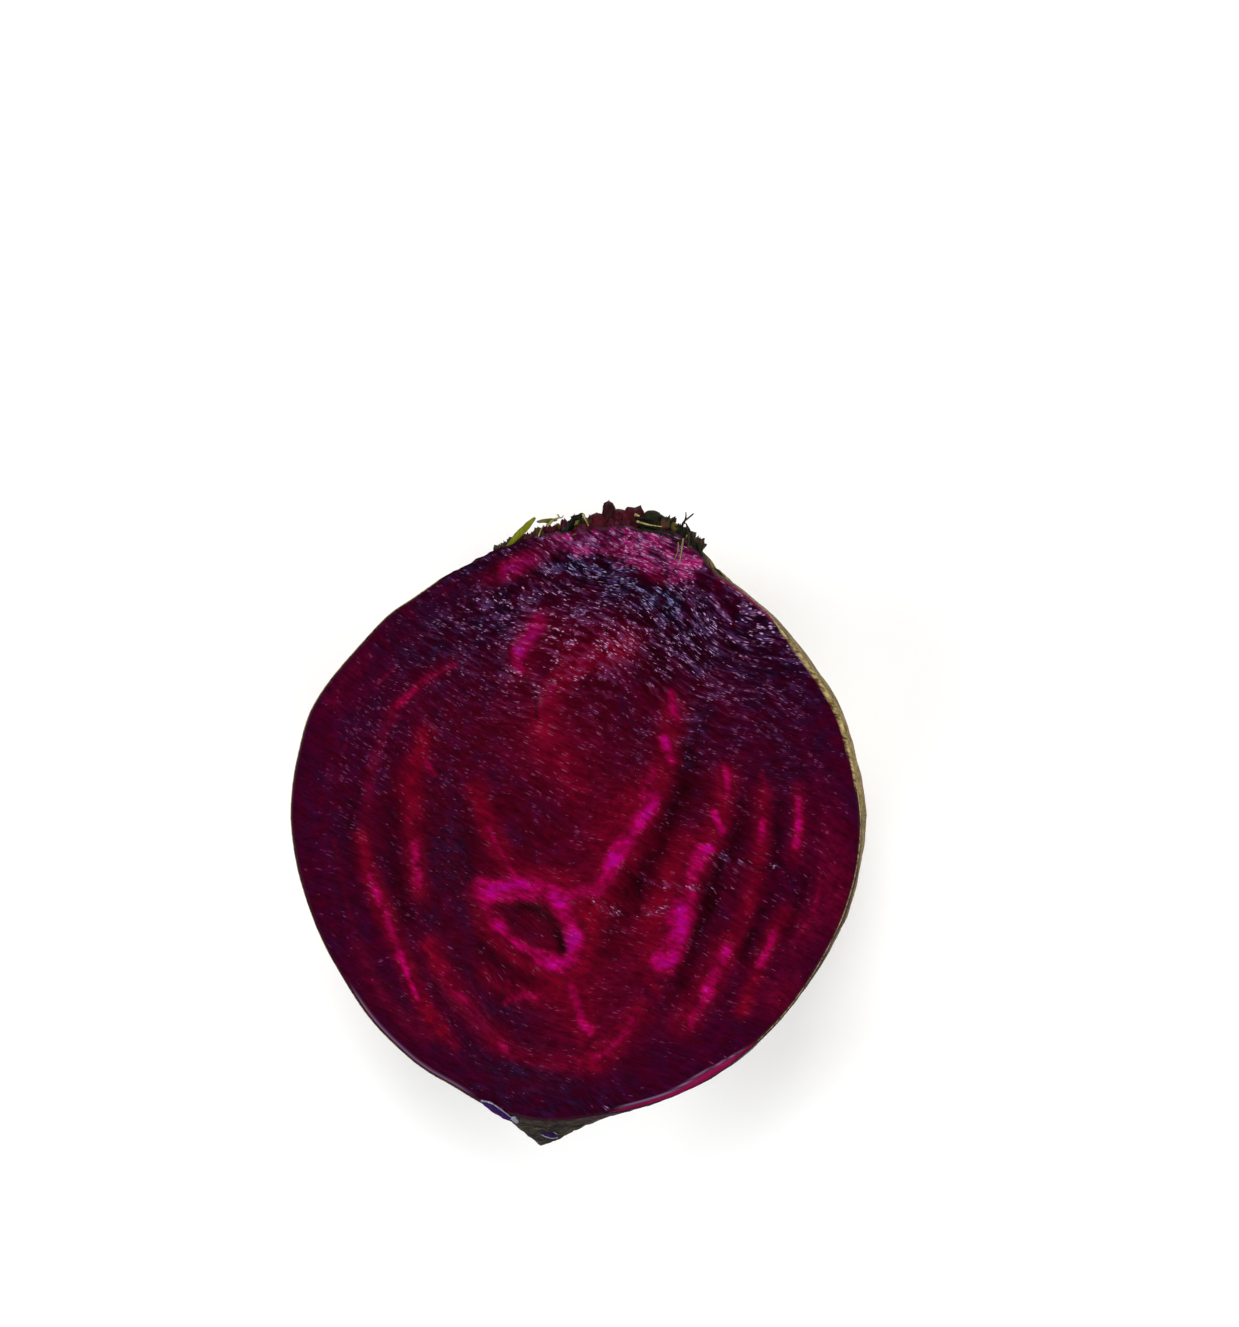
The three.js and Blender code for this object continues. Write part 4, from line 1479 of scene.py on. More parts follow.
    def marks(self, points: Array, share: Array, row: Array, rim: Array) -> dict[Channel, Array]:
        """Works out every channel at every point.

        Args:
            points: Places in the root's own frame.
            share: How far from the pith to the rim each one is, on the cut.
            row: The row that each is in.
            rim: The distance from the pith to the rim in each one's direction.

        Returns:
            The values of each channel.
        """
        x, along, z = points.T
        on_face, on_back = row <= self.face_rows, row >= self.face_rows
        face = np.flatnonzero(on_face)
        marks = {c: np.zeros(len(x)) for c in Channel}
        for mark in (*STROKES, *PATCHES, *GLINTS, BLUE_BAND):
            value = mark.mark(x[face], along[face])
            kept = marks[mark.channel][face]
            marks[mark.channel][face] = kept + value - kept * value
        inward = (1 - share) * rim
        below = np.hypot(z, (1 - np.minimum(share, 1)) * rim)
        marks[EDGE] = np.where(on_face, inward, -below)
        marks[RING] = share * self.rings / self.ring_reach
        clump = rough_field(points, 5.0, 7.7)
        # How thick the painted glints lie.
        wet = self.painted_glint_spread(points, inward, clump) * (1 - 0.45 * marks[MAGENTA])
        wet = wet * (1 - 0.4 * smoothstep(20, 36, -along))
        marks[GLINT] = np.clip(wet + marks[GLINT], 0.01, 1.0)
        width = self.facet_width(x, along)
        for channel, value in zip((PEEL, LIP, BARK), self.rim_marks(points, inward, width)):
            marks[channel] = np.where(on_face, value, 0)
        marks[COLLAR] = np.where(on_face, 0, smoothstep(35.5, 40, along + 2.4 * clump))
        tail = self.tail_skin(points, clump)
        marks[TAIL] = np.where(on_back, tail, 0)
        marks[JUICE] = np.where(on_back, self.juice(points, below) * (1 - 0.9 * tail), 0)
        away = np.hypot((x - 3.4) / 13.0, (z + 3.0) / 12.0) + 0.12 * rough_field(points, 2.0, 1.2)
        marks[MOUND] = np.where(on_face, 0, (1 - smoothstep(0.85, 1.05, away)) * (along > 25))
        return marks

    def painted_glint_spread(self, points: Array, inward: Array, clump: Array) -> Array:
        """Spreads the painted glints: thick near the crown, most of all on its right, thin at the rim.

        Args:
            points: Places in the root's own frame.
            inward: How far from the rim each one is.
            clump: Slow noise at each one.

        Returns:
            How closely the painted glints lie.
        """
        x, along, _ = points.T
        upper = smoothstep(15, 32, along + 0.1 * x + 2.5 * clump)
        upper = upper * (0.5 + 0.5 * smoothstep(-20, 0, x))
        wet = 0.085 + 0.2 * upper + 0.05 * smoothstep(-4, 12, along) + 0.03 * clump
        return wet * (1 - 0.9 * (1 - smoothstep(2.0, 6.0, inward)) * (1 - upper))

    def rim_marks(self, points: Array, inward: Array, width: Array) -> tuple[Array, Array, Array]:
        """Marks what the knife left along the rim of the cut.

        Args:
            points: Places in the root's own frame.
            inward: How far from the rim each one is.
            width: How wide the sliced facet is there.

        Returns:
            The facet, the pale line along it, and the skin that shows beside the flesh.
        """
        x, along, _ = points.T
        peel = (1 - smoothstep(0.8, 1.0, inward / width)) * smoothstep(0.08, 0.2, width)
        peel = peel * np.where(along < 0, 1, 0.45)
        lip = np.exp(-(((inward - width - 0.12) / 0.1) ** 2)) * smoothstep(0.3, 0.6, width)
        curl = smoothstep(22, 26, -along) * (1 - smoothstep(37, 39, -along)) * (x < 0)
        lip = lip + 0.8 * np.exp(-(((inward - 0.55) / 0.12) ** 2)) * curl
        bark = 0.1 + 0.42 * (x > 0) * smoothstep(3, 15, along) * (1 - smoothstep(25, 31, along))
        bark = bark * (1 - smoothstep(35, 38, along)) * (1 - smoothstep(0.1, 0.4, width)) + 1e-3
        bark = bark * (1 - smoothstep(37.5, 39.5, -along))
        shown = 1 - smoothstep(0.7, 1.1, inward / np.maximum(bark, 1e-3))
        return peel, lip, shown * smoothstep(0.04, 0.09, bark)

    def tail_skin(self, points: Array, clump: Array) -> Array:
        """Marks the shrivelled skin on the end of the tail, with a ragged outline.

        Args:
            points: Places in the root's own frame.
            clump: Slow noise at each one.

        Returns:
            How far each one is covered.
        """
        x, along, z = points.T
        ragged = 0.3 * rough_field(points, 4.2, 2.6) + 0.2 * rough_field(points, 1.3, 8.8)
        away = np.hypot((x + 4.6) / 5.7, (z + 3.8) / 10.6) + ragged
        return smoothstep(38.5, 41, -along + 0.6 * clump) * (1 - smoothstep(0.84, 1.26, away))

    def juice(self, points: Array, below: Array) -> Array:
        """Runs juice from the rim down the skin, deepest right of the tail, with a dry stretch.

        Args:
            points: Places in the root's own frame.
            below: How far from the rim each one is.

        Returns:
            How stained each one is.
        """
        x, along, _ = points.T
        dry = smoothstep(-8, 8, along) * (1 - smoothstep(32, 37, along)) * (x > 0)
        run = 12.0 * np.exp(-(((x - 4) / 6) ** 2)) * smoothstep(33, 39, -along)
        reach = np.where(x > 0, 6.0, 1.8) + run
        reach = reach * (1 + 0.6 * rough_field(points, 3.0, 6.6)) * (1 - 0.97 * dry)
        return (1 - smoothstep(0.15, 1.0, below / np.maximum(reach, 0.05))) * (1 - dry)

    def facet_width(self, x: Array, along: Array) -> Array:
        """Measures the facet that a slip of the knife left along the lower right rim.

        Args:
            x: Places across the cut.
            along: Their levels.

        Returns:
            Its width at each one, in millimetres.
        """
        start, end = smoothstep(28.5, 33.0, -along), 1 - smoothstep(39.4, 41.4, -along)
        bulge = 0.55 + 0.5 * np.exp(-(((along + 34.8) / 2.2) ** 2))
        low = bulge * start * end * smoothstep(2, 6, x)
        shoulder = smoothstep(28.5, 31, along) * (1 - smoothstep(36.0, 38.5, along)) * (x > 15)
        return np.maximum(low + 0.26 * shoulder, 1e-3)

    def relief(self, points: Array, share: Array, marks: dict[Channel, Array]) -> Array:
        """Shapes the cut: its rings, the knife's waves, its grain, its hollows and its rim.

        Args:
            points: Places in the root's own frame.
            share: How far from the pith to the rim each one is.
            marks: The channels.

        Returns:
            How high each one stands over the plane of the cut, in millimetres.
        """
        x, along, _ = points.T
        waves = np.sin(2 * math.pi * marks[RING]) * self.ring_relief
        waves = waves * (1 - smoothstep(self.ring_reach, 0.97, share))
        flat = points * np.array([1, 1, 0])
        knife = 0.06 * rough_field(flat, (16.0, 7.0, 1.0), 5.5)
        torn = rough_field(flat, (1.5, 0.9, 1.0), 3.3)
        grain = (0.03 + 0.10 * smoothstep(24, 36, along)) * torn
        edge = marks[EDGE]
        rounding = 0.14 * (1 - smoothstep(0, 0.5, edge))
        sliced = 0.7 * marks[PEEL] * (along < 0)
        facet = sliced * (1 - smoothstep(0, 1.1, edge)) - 0.06 * marks[LIP]
        rise = (waves + knife + grain - 0.05) * smoothstep(0, 1.0, edge)
        return rise - HOLLOW.mark(x, along) - CRACK.mark(x, along) - rounding - facet

    def part_surfaces(self, mesh: bpy.types.Mesh, row: Array) -> None:
        """Gives the cut and the back their material slots, with a sharp rim between.

        Args:
            mesh: The mesh.
            row: The row that each of its points is in.
        """
        for polygon in mesh.polygons:
            on_cut = all(row[v] <= self.face_rows for v in polygon.vertices)
            polygon.material_index = 0 if on_cut else 1
        mesh.polygons.foreach_set("use_smooth", [True] * len(mesh.polygons))
        for edge in mesh.edges:
            edge.use_edge_sharp = all(row[v] == self.face_rows for v in edge.vertices)

    def dress(self, piece: Piece) -> None:
        """Gives the half its finishes and its place in the frame.

        Args:
            piece: The half.
        """
        piece.data.materials.append(CutFlesh().material())
        piece.data.materials.append(RootSkin().material())
        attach(piece, "root")
        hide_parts("root")


class Ending(Enum):
    """How a stump of a leaf stalk ends."""

    TORN = "torn"
    ROUND = "round"


TORN, ROUND = Ending

@dataclass(frozen=True)
class Stump:
    """One stump of a leaf stalk, from its foot to its end, in the root's own frame."""

    foot: Spot
    end: Spot
    width: float
    thick: float
    tint: float
    ending: Ending = TORN
    spin: float = 0.0
    crumple: float = 1.0
    facing: Spot = (0.0, 0.0, 1.0)
    sides: int = 26
    levels: int = 14

    def body(self, seed: float) -> Body:
        """Builds it as a ribbed, lumpy stem.

        Args:
            seed: Tells its roughness from the others'.

        Returns:
            The closed body.
        """
        foot, end = Vector(self.foot), Vector(self.end)
        along = (end - foot).normalized()
        side = Matrix.Rotation(self.spin, 3, along) @ along.cross(Vector(self.facing)).normalized()
        deep = side.cross(along)
        round_off = self.ending is ROUND

        def shape(up: float, turn: float, out: float) -> Vector:
            """Places one point of the stump.

            Args:
                up: Its share of the way up.
                turn: Its turn round the stump.
                out: Its share of the way out.

            Returns:
                The place.
            """
            ribs = 1 + 0.04 * math.sin(6 * turn + seed) + 0.03 * math.sin(13 * turn - seed)
            past = max(0.0, (up - 0.62) / 0.38)
            cap = math.sqrt(max(0.0, 1 - past**2)) if round_off else 1 - 0.14 * up
            reach = out * cap * ribs
            place = foot.lerp(end, up)
            place += side * math.cos(turn) * reach * self.width / 2
            place += deep * math.sin(turn) * reach * self.thick / 2
            lump = noise.noise(place * 0.9 + Vector((seed, 0, 0)))
            fine = noise.noise(place * 2.3 + Vector((0, seed, 0)))
            rough = (0.3 * lump + 0.13 * fine) * self.crumple
            place += (side * math.cos(turn) + deep * math.sin(turn)) * rough
            if not round_off:
                spot = Vector((3.1 * math.cos(turn) * out, 3.1 * math.sin(turn) * out, seed))
                place += along * 1.1 * noise.noise(spot) * up * up
            return place

        return stem_body(self.sides, self.levels, shape)


@dataclass(frozen=True)
class Fibre:
    """One dry fibre: a thin thread through a few points, tapering to its end."""

    points: tuple[Spot, ...]
    thick: float
    tint: float
    steps: int = 8
    sides: int = 7
    levels: int = 16
    knobs: float = 0.35
    taper: float = 0.6

    def body(self, seed: float) -> Body:
        """Builds it as a thin, slightly uneven stem.

        Args:
            seed: Tells its unevenness from the others'.

        Returns:
            The closed body.
        """
        line = smooth_line(self.points, self.steps)
        places = np.linspace(0, 1, len(line))

        def at(up: float) -> Vector:
            """Gives the thread's middle at a share of its length."""
            return Vector([float(np.interp(up, places, line[:, i])) for i in range(3)])

        def shape(up: float, turn: float, out: float) -> Vector:
            """Places one point of the thread.

            Args:
                up: Its share of the way up.
                turn: Its turn round the thread.
                out: Its share of the way out.

            Returns:
                The place.
            """
            along = (at(min(1.0, up + 0.02)) - at(max(0.0, up - 0.02))).normalized()
            side = along.cross(Vector((0, 0, 1)))
            side = side.normalized() if side.length > 0.1 else Vector((1, 0, 0))
            deep = side.cross(along)
            knobbly = 1 + self.knobs * noise.noise(Vector((up * 9, seed, 0)))
            reach = out * self.thick / 2 * knobbly * (1 - self.taper * up)
            return at(up) + (side * math.cos(turn) + deep * math.sin(turn)) * reach

        return stem_body(self.sides, self.levels, shape)


@dataclass(frozen=True)
class Flake:
    """One dry papery flake, curled, from one end to the other."""

    start: Spot
    end: Spot
    width: float
    curl: float
    tint: float
    facing: Spot = (0.0, 0.0, 1.0)
    across: int = 5
    levels: int = 14
    thick: float = 0.12

    def body(self, seed: float) -> Body:
        """Builds it as a thin curled strip.

        Args:
            seed: Tells its ragged sides from the others'.

        Returns:
            The closed body.
        """
        start, end = Vector(self.start), Vector(self.end)
        along = (end - start).normalized()
        side = along.cross(Vector(self.facing))
        side = side.normalized() if side.length > 0.1 else Vector((1, 0, 0))
        deep = side.cross(along)

        def shape(up: float, across: float) -> Vector:
            """Places one point of the flake.

            Args:
                up: Its share of the way up.
                across: Its place across, from -1 to 1.

            Returns:
                The place.
            """
            plump = math.sqrt(max(0.04, math.sin(math.pi * min(0.98, 0.06 + 0.9 * up))))
            ragged = 1 + 0.3 * noise.noise(Vector((up * 5, across * 2, seed)))
            place = start.lerp(end, up) + side * across * self.width / 2 * plump * ragged
            return place + deep * self.curl * (math.sin(math.pi * up) - 0.6 * across * across)

        return strip_body(self.across, self.levels, self.thick, shape)


def gather(
    name: str,
    parts: Sequence[Union[Stump, Fibre, Flake]],
    tissue: StalkTissue,
    node: str,
    slot: str,
    seeds: Pair = (1.3, 3.7),
) -> Piece:
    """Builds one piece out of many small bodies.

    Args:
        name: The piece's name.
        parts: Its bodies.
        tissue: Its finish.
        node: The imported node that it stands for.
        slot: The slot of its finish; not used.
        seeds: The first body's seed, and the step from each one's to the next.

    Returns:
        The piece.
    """
    first, step = seeds
    cluster = Cluster(name)
    for i, part in enumerate(parts):
        cluster.take(part.body(i * step + first), part.tint)
    made = cluster.finish(tissue.material())
    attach(made, "root")
    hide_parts(node)
    return made


@dataclass
class Crown:
    """The stumps of the leaf stalks, with the dry flakes and fibres between them."""

    form: RootForm
    centre: Pair = (3.4, -3.0)
    spread: Pair = (14.0, 13.0)
    stumps: int = 150
    stump_seed: int = 11
    husk_count: int = 26
    husk_seed: int = 7
    scales: int = 240
    scale_seed: int = 29
    golden_angle: float = math.pi * (3 - math.sqrt(5))
    # The crown's outline seen from over the cut: how high it stands at each place across.
    outline: tuple[Pair, ...] = (
        (-12.0, 41.0), (-8.0, 42.4), (-2.0, 44.2), (2.5, 45.4), (5.0, 46.8), (10.0, 45.8),
        (13.0, 45.0), (16.0, 43.2), (20.0, 40.0),
    )
    fresh: tuple[Stump, ...] = (
        Stump((3.6, 42.0, -1.2), (3.3, 46.0, -1.4), 2.6, 2.0, 0.35, ROUND, 0.0, 1.5),
        Stump((5.0, 42.0, -1.9), (4.9, 47.8, -2.4), 2.0, 1.9, 0.0, ROUND, 0.0, 1.2),
        Stump((6.9, 42.0, -1.5), (6.6, 46.5, -2.2), 3.0, 2.2, 0.25, ROUND, 0.4, 1.8),
        Stump((8.9, 42.0, -1.6), (8.6, 46.2, -2.6), 3.0, 2.2, 0.5, TORN, 0.3, 1.9),
        Stump((6.2, 41.8, -0.9), (5.7, 45.3, -1.0), 2.2, 1.5, 0.8, ROUND, 0.0, 1.6),
        Stump((8.0, 41.8, -0.8), (7.6, 44.9, -0.8), 2.0, 1.3, 0.6, ROUND, 0.0, 1.6),
        Stump((-3.4, 40.8, -1.2), (-3.6, 43.9, -1.6), 2.6, 1.6, 0.5, TORN, 0.0, 1.6),
        Stump((-5.8, 39.8, -1.1), (-6.4, 42.7, -1.6), 2.3, 1.5, 0.9, TORN, 0.0, 1.6),
        Stump((-0.6, 41.6, -2.2), (-0.9, 44.6, -2.6), 2.6, 1.8, 0.2, TORN, 0.0, 1.6),
        Stump((1.4, 41.8, -1.0), (1.5, 44.3, -1.2), 2.4, 1.5, 0.9, ROUND, 0.0, 1.6),
        Stump((-2.2, 41.0, -0.7), (-2.6, 42.9, -0.7), 1.8, 1.2, 0.7, ROUND, 0.0, 1.6),
    )
    dead: tuple[Stump, ...] = (
        Stump((10.8, 42.2, -1.6), (11.5, 46.3, -2.8), 3.3, 2.4, 0.5, ROUND),
        Stump((12.9, 41.8, -1.4), (13.6, 45.0, -2.4), 2.6, 2.0, 0.2),
        Stump((10.6, 42.4, -0.8), (12.4, 44.4, -0.9), 2.0, 1.1, 0.0),
        Stump((14.6, 40.8, -1.2), (15.9, 43.3, -1.6), 1.8, 1.4, 0.1),
        Stump((17.2, 39.0, -1.2), (18.4, 41.2, -1.6), 1.5, 1.2, 0.0),
        Stump((-1.5, 42.4, -0.7), (0.1, 45.3, -0.8), 0.9, 0.8, 0.0),
        Stump((-0.2, 44.9, -0.8), (1.5, 45.8, -0.9), 0.7, 0.6, 0.0, ROUND),
        Stump((-8.4, 39.6, -1.4), (-9.2, 41.6, -1.9), 2.0, 1.4, 0.7),
    )
    # The stumps that a knife took: turn, share of the crown's spread, width, thickness and tint.
    scars: tuple[tuple[float, float, float, float, float], ...] = (
        (-1.15, 0.62, 6.4, 1.7, 0.15), (-2.05, 0.78, 4.6, 1.4, 0.5), (-0.4, 0.8, 3.6, 1.3, 0.9),
        (-1.7, 0.3, 4.4, 1.6, 0.3),
    )
    threads: tuple[Fibre, ...] = (
        Fibre(
            (
                (16.3, 40.4, -0.5),
                (15.9, 42.6, -0.3),
                (16.1, 44.3, -0.5),
                (16.8, 45.0, -0.6),
                (17.6, 45.7, -0.8),
            ),
            0.5,
            0.0,
        ),
        Fibre(((16.2, 44.2, -0.5), (16.5, 45.1, -0.5), (16.5, 45.9, -0.6)), 0.36, 0.3),
        Fibre(((18.0, 39.6, -0.5), (17.8, 41.4, -0.3), (17.2, 43.0, -0.4), (16.5, 44.3, -0.5)), 0.46, 0.1),
        Fibre(((16.9, 40.4, -0.2), (17.0, 42.0, 0.0), (16.6, 43.9, -0.3)), 0.34, 0.6),
        Fibre(((18.9, 39.4, -0.6), (18.3, 41.0, -0.4), (17.4, 42.4, -0.4)), 0.4, 0.0),
        Fibre(((9.4, 44.4, -0.3), (12.0, 43.7, -0.2), (14.6, 42.7, -0.2), (16.6, 41.2, -0.3)), 0.55, 0.0),
        Fibre(((10.2, 43.4, -0.3), (12.6, 42.9, -0.1), (15.2, 41.9, -0.1), (17.4, 40.2, -0.3)), 0.6, 0.15),
        Fibre(((9.2, 45.0, -0.8), (11.0, 44.9, -0.6), (12.8, 44.4, -0.6)), 0.5, 0.0),
    )
    straws: tuple[Fibre, ...] = (
        Fibre(((9.4, 44.6, 0.0), (11.2, 44.1, 0.05), (13.1, 43.8, 0.0)), 0.3, 0.9),
        Fibre(((1.5, 45.7, -0.3), (1.9, 44.9, -0.2), (2.3, 44.0, -0.3)), 0.42, 0.9),
        Fibre(((16.2, 42.1, -0.1), (16.0, 40.4, 0.05), (15.7, 38.6, 0.0)), 0.3, 0.45),
        Fibre(((15.5, 41.6, -0.1), (15.4, 40.2, 0.03), (14.9, 39.0, 0.0)), 0.2, 0.5),
        Fibre(((-5.2, 41.9, -0.2), (-4.8, 43.3, -0.3), (-4.3, 44.2, -0.5)), 0.3, 0.8),
        Fibre(((-3.9, 44.0, -0.6), (-2.8, 45.0, -0.7), (-1.6, 45.3, -0.8)), 0.4, 0.6),
        Fibre(((-2.4, 45.7, -0.9), (-1.9, 45.2, -0.7), (-1.4, 45.6, -0.9)), 0.3, 0.9),
        Fibre(((9.0, 45.6, -0.9), (9.7, 45.4, -0.8)), 0.5, 1.0),
    )
    flakes: tuple[Flake, ...] = (
        Flake((-9.9, 41.0, -0.9), (-5.8, 45.3, -1.4), 1.0, 0.2, 0.0),
        Flake((-5.6, 44.7, -1.6), (-2.6, 45.0, -1.8), 0.6, 0.2, 0.6),
        Flake((-0.6, 42.6, -0.12), (1.0, 43.0, -0.12), 0.5, 0.1, 1.0),
        Flake((0.0, 44.2, -0.8), (0.8, 45.1, -1.0), 0.7, 0.15, 0.6),
        Flake((12.6, 45.2, -2.0), (15.0, 44.0, -2.0), 0.9, 0.25, 0.7),
        Flake((14.0, 44.2, -1.6), (15.2, 42.9, -1.3), 0.7, 0.2, 0.85),
    )

    def stand(self, x: float) -> float:
        """Gives how high the crown stands at a place across."""
        places, levels = zip(*self.outline)
        return float(np.interp(x, places, levels))

    def on_dome(self, turn: float, share: float) -> Vector:
        """Finds a place on the crown's surface.

        Args:
            turn: Its turn round the growing point.
            share: Its share of the crown's spread.

        Returns:
            The place.
        """
        x = self.centre[0] + share * self.spread[0] * math.cos(turn)
        z = self.centre[1] + share * self.spread[1] * math.sin(turn)
        return Vector((x, self.form.crown_top(x, z), z))

    def outward(self, turn: float, share: float) -> Spot:
        """Gives the way the crown's surface faces there."""
        return math.cos(turn) * share, 0.75, math.sin(turn) * share

    def old_stumps(self) -> list[Stump]:
        """Lays out the low dried stumps behind the cut, packed round the growing point.

        Returns:
            The stumps.
        """
        rng = random.Random(self.stump_seed)
        laid = []
        for k in range(self.stumps):
            share = math.sqrt((k + 0.5) / self.stumps) * rng.uniform(0.9, 1.06)
            turn = k * self.golden_angle + rng.uniform(-0.35, 0.35)
            spot = self.on_dome(turn, share)
            if spot.z > -1.8:
                continue
            room = self.stand(spot.x) - 0.4 - spot.y
            height = max(0.5, min(room, (3.3 - 2.3 * share) * rng.uniform(0.35, 1.0)))
            out = Vector((math.cos(turn), 0, math.sin(turn))) * (0.3 + 0.5 * share) * height
            end = spot + out + Vector((rng.uniform(-0.4, 0.4), height, rng.uniform(-0.4, 0.4)))
            foot = spot - out * 0.5 - Vector((0, 1.6, 0))
            width, thick = rng.uniform(1.6, 4.6), rng.uniform(0.8, 1.9)
            ending = ROUND if rng.random() < 0.25 else TORN
            spin = turn - math.pi / 2 + rng.uniform(-0.7, 0.7)
            laid.append(Stump(tuple(foot), tuple(end), width, thick, rng.random(), ending, spin, 1.8))
        return laid

    def cut_stumps(self) -> list[Stump]:
        """Lays out the few stumps that a knife took, as broad smooth scars, wet and blue-black.

        Returns:
            The scars.
        """
        laid = []
        for turn, share, width, thick, tint in self.scars:
            faces = self.outward(turn, share)
            lift = Vector(faces).normalized()
            foot = self.on_dome(turn, share + 0.13) + lift * 0.6
            end = self.on_dome(turn, share - 0.13) + lift * 1.5
            ends = tuple(foot), tuple(end)
            laid.append(Stump(*ends, width, thick, tint, ROUND, 0.0, 1.1, faces))
        return laid

    def husks(self) -> list[Flake]:
        """Lays out curled rusty husks that stand among the inner stumps.

        Returns:
            The husks.
        """
        rng = random.Random(self.husk_seed)
        laid = []
        while len(laid) < self.husk_count:
            turn, share = rng.uniform(-math.pi, 0), rng.uniform(0.1, 0.85)
            spot = self.on_dome(turn, share)
            if spot.z > -3.0:
                continue
            room = max(1.2, min(self.stand(spot.x) - 0.3 - spot.y, rng.uniform(1.8, 3.6)))
            lean = Vector((rng.uniform(-0.9, 0.9), room, rng.uniform(-0.9, 0.9)))
            width, curl = rng.uniform(0.6, 1.5), rng.uniform(-0.4, 0.4)
            laid.append(Flake(tuple(spot), tuple(spot + lean), width, curl, rng.random()))
        return laid

    def collar_scales(self) -> list[Flake]:
        """Lays out small dry scales round the crown, flat on the skin with their tips lifted.

        Returns:
            The scales.
        """
        rng = random.Random(self.scale_seed)
        laid = []
        while len(laid) < self.scales:
            turn, share = rng.uniform(-math.pi, 0), rng.triangular(0.8, 1.5, 1.0)
            length = rng.uniform(0.9, 2.6)
            start = self.on_dome(turn, share)
            end = self.on_dome(turn + rng.uniform(-0.16, 0.16), share - length / self.spread[0])
            end += Vector((0, rng.uniform(0.1, 0.6), 0))
            if max(start.z, end.z) > -1.0:
                continue
            width, curl = rng.uniform(0.5, 1.6), rng.uniform(-0.1, 0.3)
            faces = self.outward(turn, share)
            laid.append(Flake(tuple(start), tuple(end), width, curl, rng.random(), faces))
        return laid

    def build(self) -> list[Piece]:
        """Builds every piece of the crown.

        Returns:
            The pieces.
        """
        pieces = (
            ("stalk_stumps", self.old_stumps(), DRIED_STUMPS),
            ("cut_stumps", self.cut_stumps(), STALK_WOUNDS),
            ("rusty_husks", self.husks(), RUSTY_HUSKS),
            ("torn_stumps", self.fresh, TORN_STUMPS),
            ("dead_stumps", self.dead, DEAD_STUMPS),
            ("dark_fibres", self.threads, DARK_FIBRES),
            ("straw_fibres", self.straws, STRAW_FIBRES),
            ("dry_flakes", self.flakes, PAPERY_FLAKES),
            ("collar_scales", self.collar_scales(), COLLAR_SCALES),
        )
        return [gather(*piece, "crown", "leaf_stalk") for piece in pieces]


@dataclass
class TailBits:
    """Slivers of skin that the knife left beside the tail, violet with pale rims."""

    slivers: tuple[Flake, ...] = (
        Flake((-13.2, -39.7, 0.0), (-9.0, -42.2, -0.3), 1.0, 0.12, 0.3),
        Flake((-6.2, -44.5, -6.6), (-3.7, -45.3, -7.2), 0.9, 0.1, 0.2),
    )
    rims: tuple[Fibre, ...] = (
        Fibre(((-13.5, -39.4, 0.1), (-12.0, -39.7, 0.2), (-10.4, -40.7, 0.2), (-9.0, -41.8, 0.0)), 0.34, 0.6),
        Fibre(((-6.4, -44.2, -6.2), (-5.0, -44.1, -6.2), (-3.6, -44.9, -6.8)), 0.3, 0.8),
        Fibre(((-6.0, -45.0, -7.0), (-4.8, -45.5, -7.2), (-3.6, -45.5, -7.4)), 0.34, 1.0),
        Fibre(((-9.0, -41.7, -0.5), (-8.4, -42.6, -1.4)), 1.1, 1.0),
    )
    seeds: Pair = (0.7, 2.9)

    def build(self) -> list[Piece]:
        """Builds the slivers and their rims."""
        pieces = ("tail_slivers", self.slivers, VIOLET_SLIVERS), ("tail_rims", self.rims, PALE_RIMS)
        return [gather(*piece, "root", "skin", self.seeds) for piece in pieces]


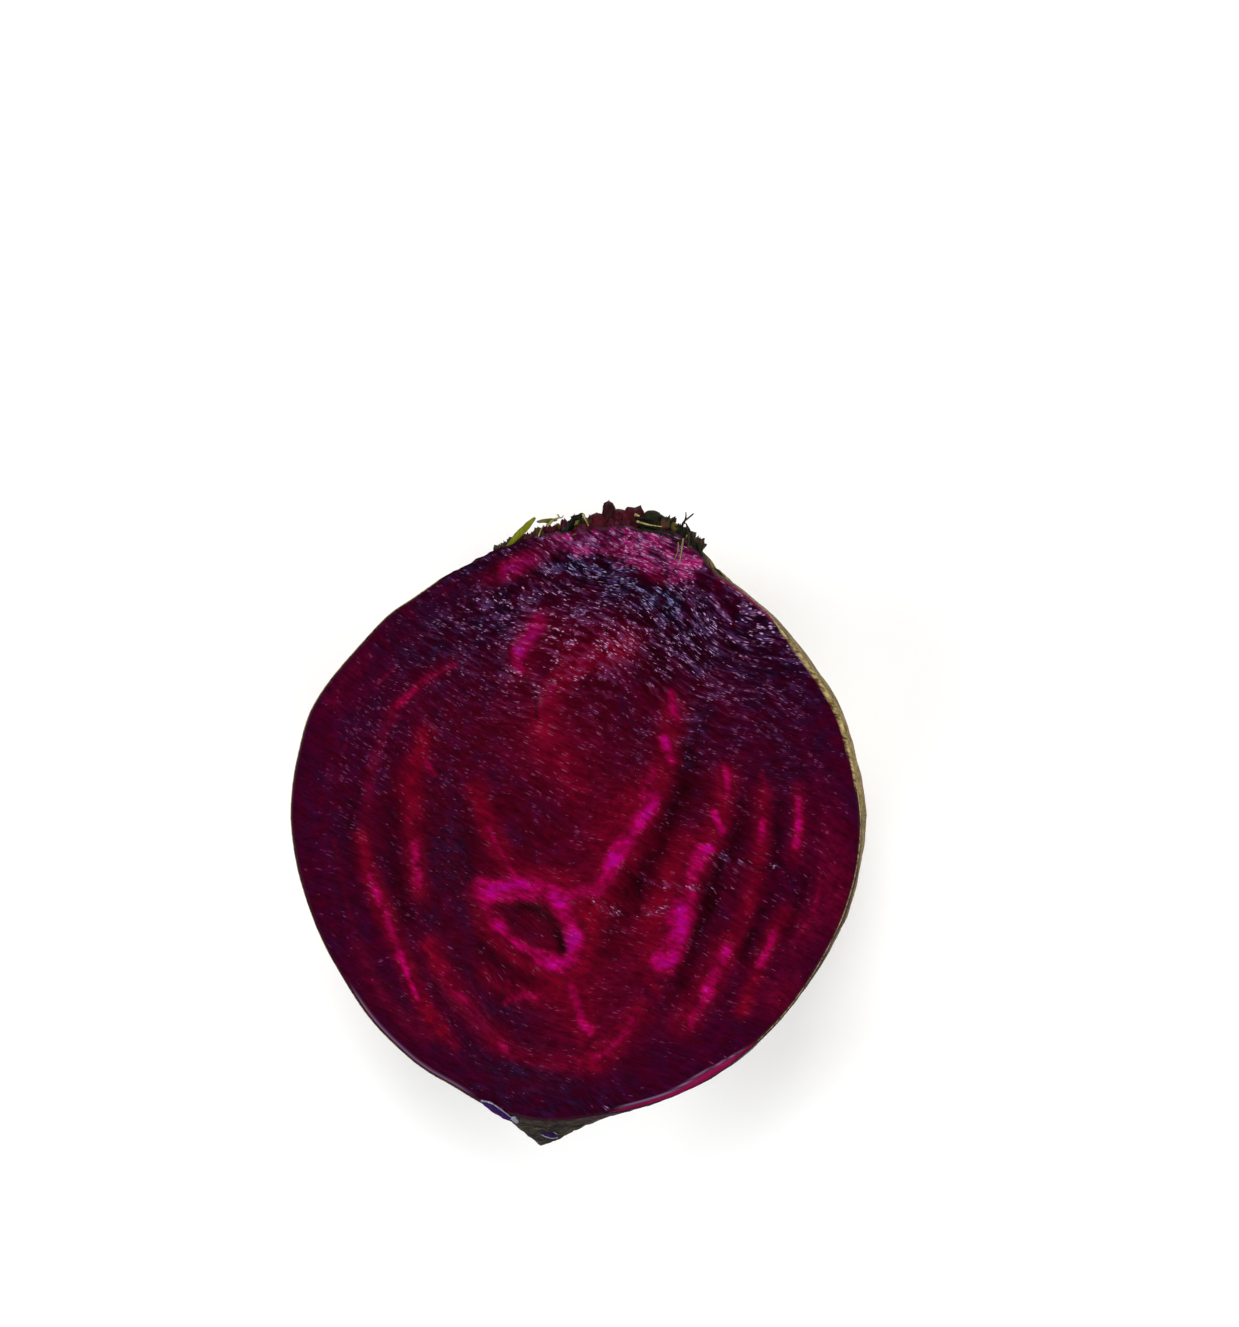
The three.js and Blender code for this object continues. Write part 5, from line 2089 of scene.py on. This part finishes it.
@dataclass
class Studio:
    """The floor, the lights and the camera."""

    frame_height: float = 191.5
    frame_middle: Pair = (6.9, 24.1)
    lens: float = 100.0
    sensor: float = 36.0
    tilt: float = 10.0
    nearest: float = 0.01
    floor_half: float = 1.5
    box_size: float = 1.0
    # Each soft box's name, its place and its power.
    boxes: tuple[tuple[str, Spot, float], ...] = (
        ("key", (0.15, 1.14, 1.55), 21.0),
        ("left", (-1.36, 0.1, 1.36), 14.0),
        ("right", (1.12, 0.1, 1.56), 13.0),
        ("near_left", (-0.8, -1.06, 1.45), 12.5),
        ("near_right", (0.8, -1.06, 1.45), 12.5),
    )
    sky_strength: float = 0.03

    def build(self) -> None:
        """Builds all of it."""
        self.floor()
        self.lights()
        self.sky()
        self.camera()

    def floor(self) -> None:
        """Lays a plain pale floor under the half."""
        body = bmesh.new()
        bmesh.ops.create_grid(body, x_segments=1, y_segments=1, size=self.floor_half)
        mesh = bpy.data.meshes.new("floor")
        body.to_mesh(mesh)
        body.free()
        made = show("floor", mesh)
        paper = bpy.data.materials.new("matt_white_paper")
        paper.use_nodes = True
        shader = paper.node_tree.nodes["Principled BSDF"]
        shader.inputs["Base Color"].default_value = linear("#ffffff")
        shader.inputs["Roughness"].default_value = 0.9
        mesh.materials.append(paper)

    def lights(self) -> None:
        """Hangs soft boxes round the half, the strongest past its crown."""
        for name, place, power in self.boxes:
            lamp = bpy.data.lights.new(name, "AREA")
            lamp.energy = power
            lamp.size = self.box_size
            made = show(name, lamp)
            made.location = place
            made.rotation_euler = (-Vector(place)).to_track_quat("-Z", "Y").to_euler()

    def sky(self) -> None:
        """Dims the sky, and keeps colours as they are lit."""
        world = bpy.data.worlds.new("studio")
        bpy.context.scene.world = world
        world.use_nodes = True
        sky = world.node_tree.nodes["Background"]
        sky.inputs["Color"].default_value = linear("#ffffff")
        sky.inputs["Strength"].default_value = self.sky_strength
        bpy.context.scene.view_settings.view_transform = "Standard"

    def camera(self) -> None:
        """Sets the camera over the cut, a little to its right."""
        eye = bpy.data.cameras.new("camera")
        eye.lens = self.lens
        eye.sensor_width = self.sensor
        made = show("camera", eye)
        away = self.frame_height * self.lens / self.sensor
        tilt = math.radians(self.tilt)
        aim = PLACE.matrix() @ Vector((*self.frame_middle, 0))
        step = Vector((math.sin(tilt), 0, math.cos(tilt))) * away * MM
        made.matrix_world = Matrix.Translation(aim + step) @ Matrix.Rotation(tilt, 4, "Y")
        eye.clip_start = self.nearest
        bpy.context.scene.camera = made


def report(piece: Piece) -> None:
    """Logs a piece's name and size."""
    piece.data.calc_loop_triangles()
    LOG.info("%s: %d triangles", piece.name, len(piece.data.loop_triangles))


def main() -> None:
    """Builds the half, piece by piece, and its studio."""
    logging.basicConfig(level=logging.INFO, format="%(message)s")
    Studio().build()
    half = BeetHalf(FORM)
    piece = half.build()
    half.dress(piece)
    report(piece)
    for piece in (*Crown(FORM).build(), *TailBits().build()):
        report(piece)


if __name__ == "__main__":
    main()
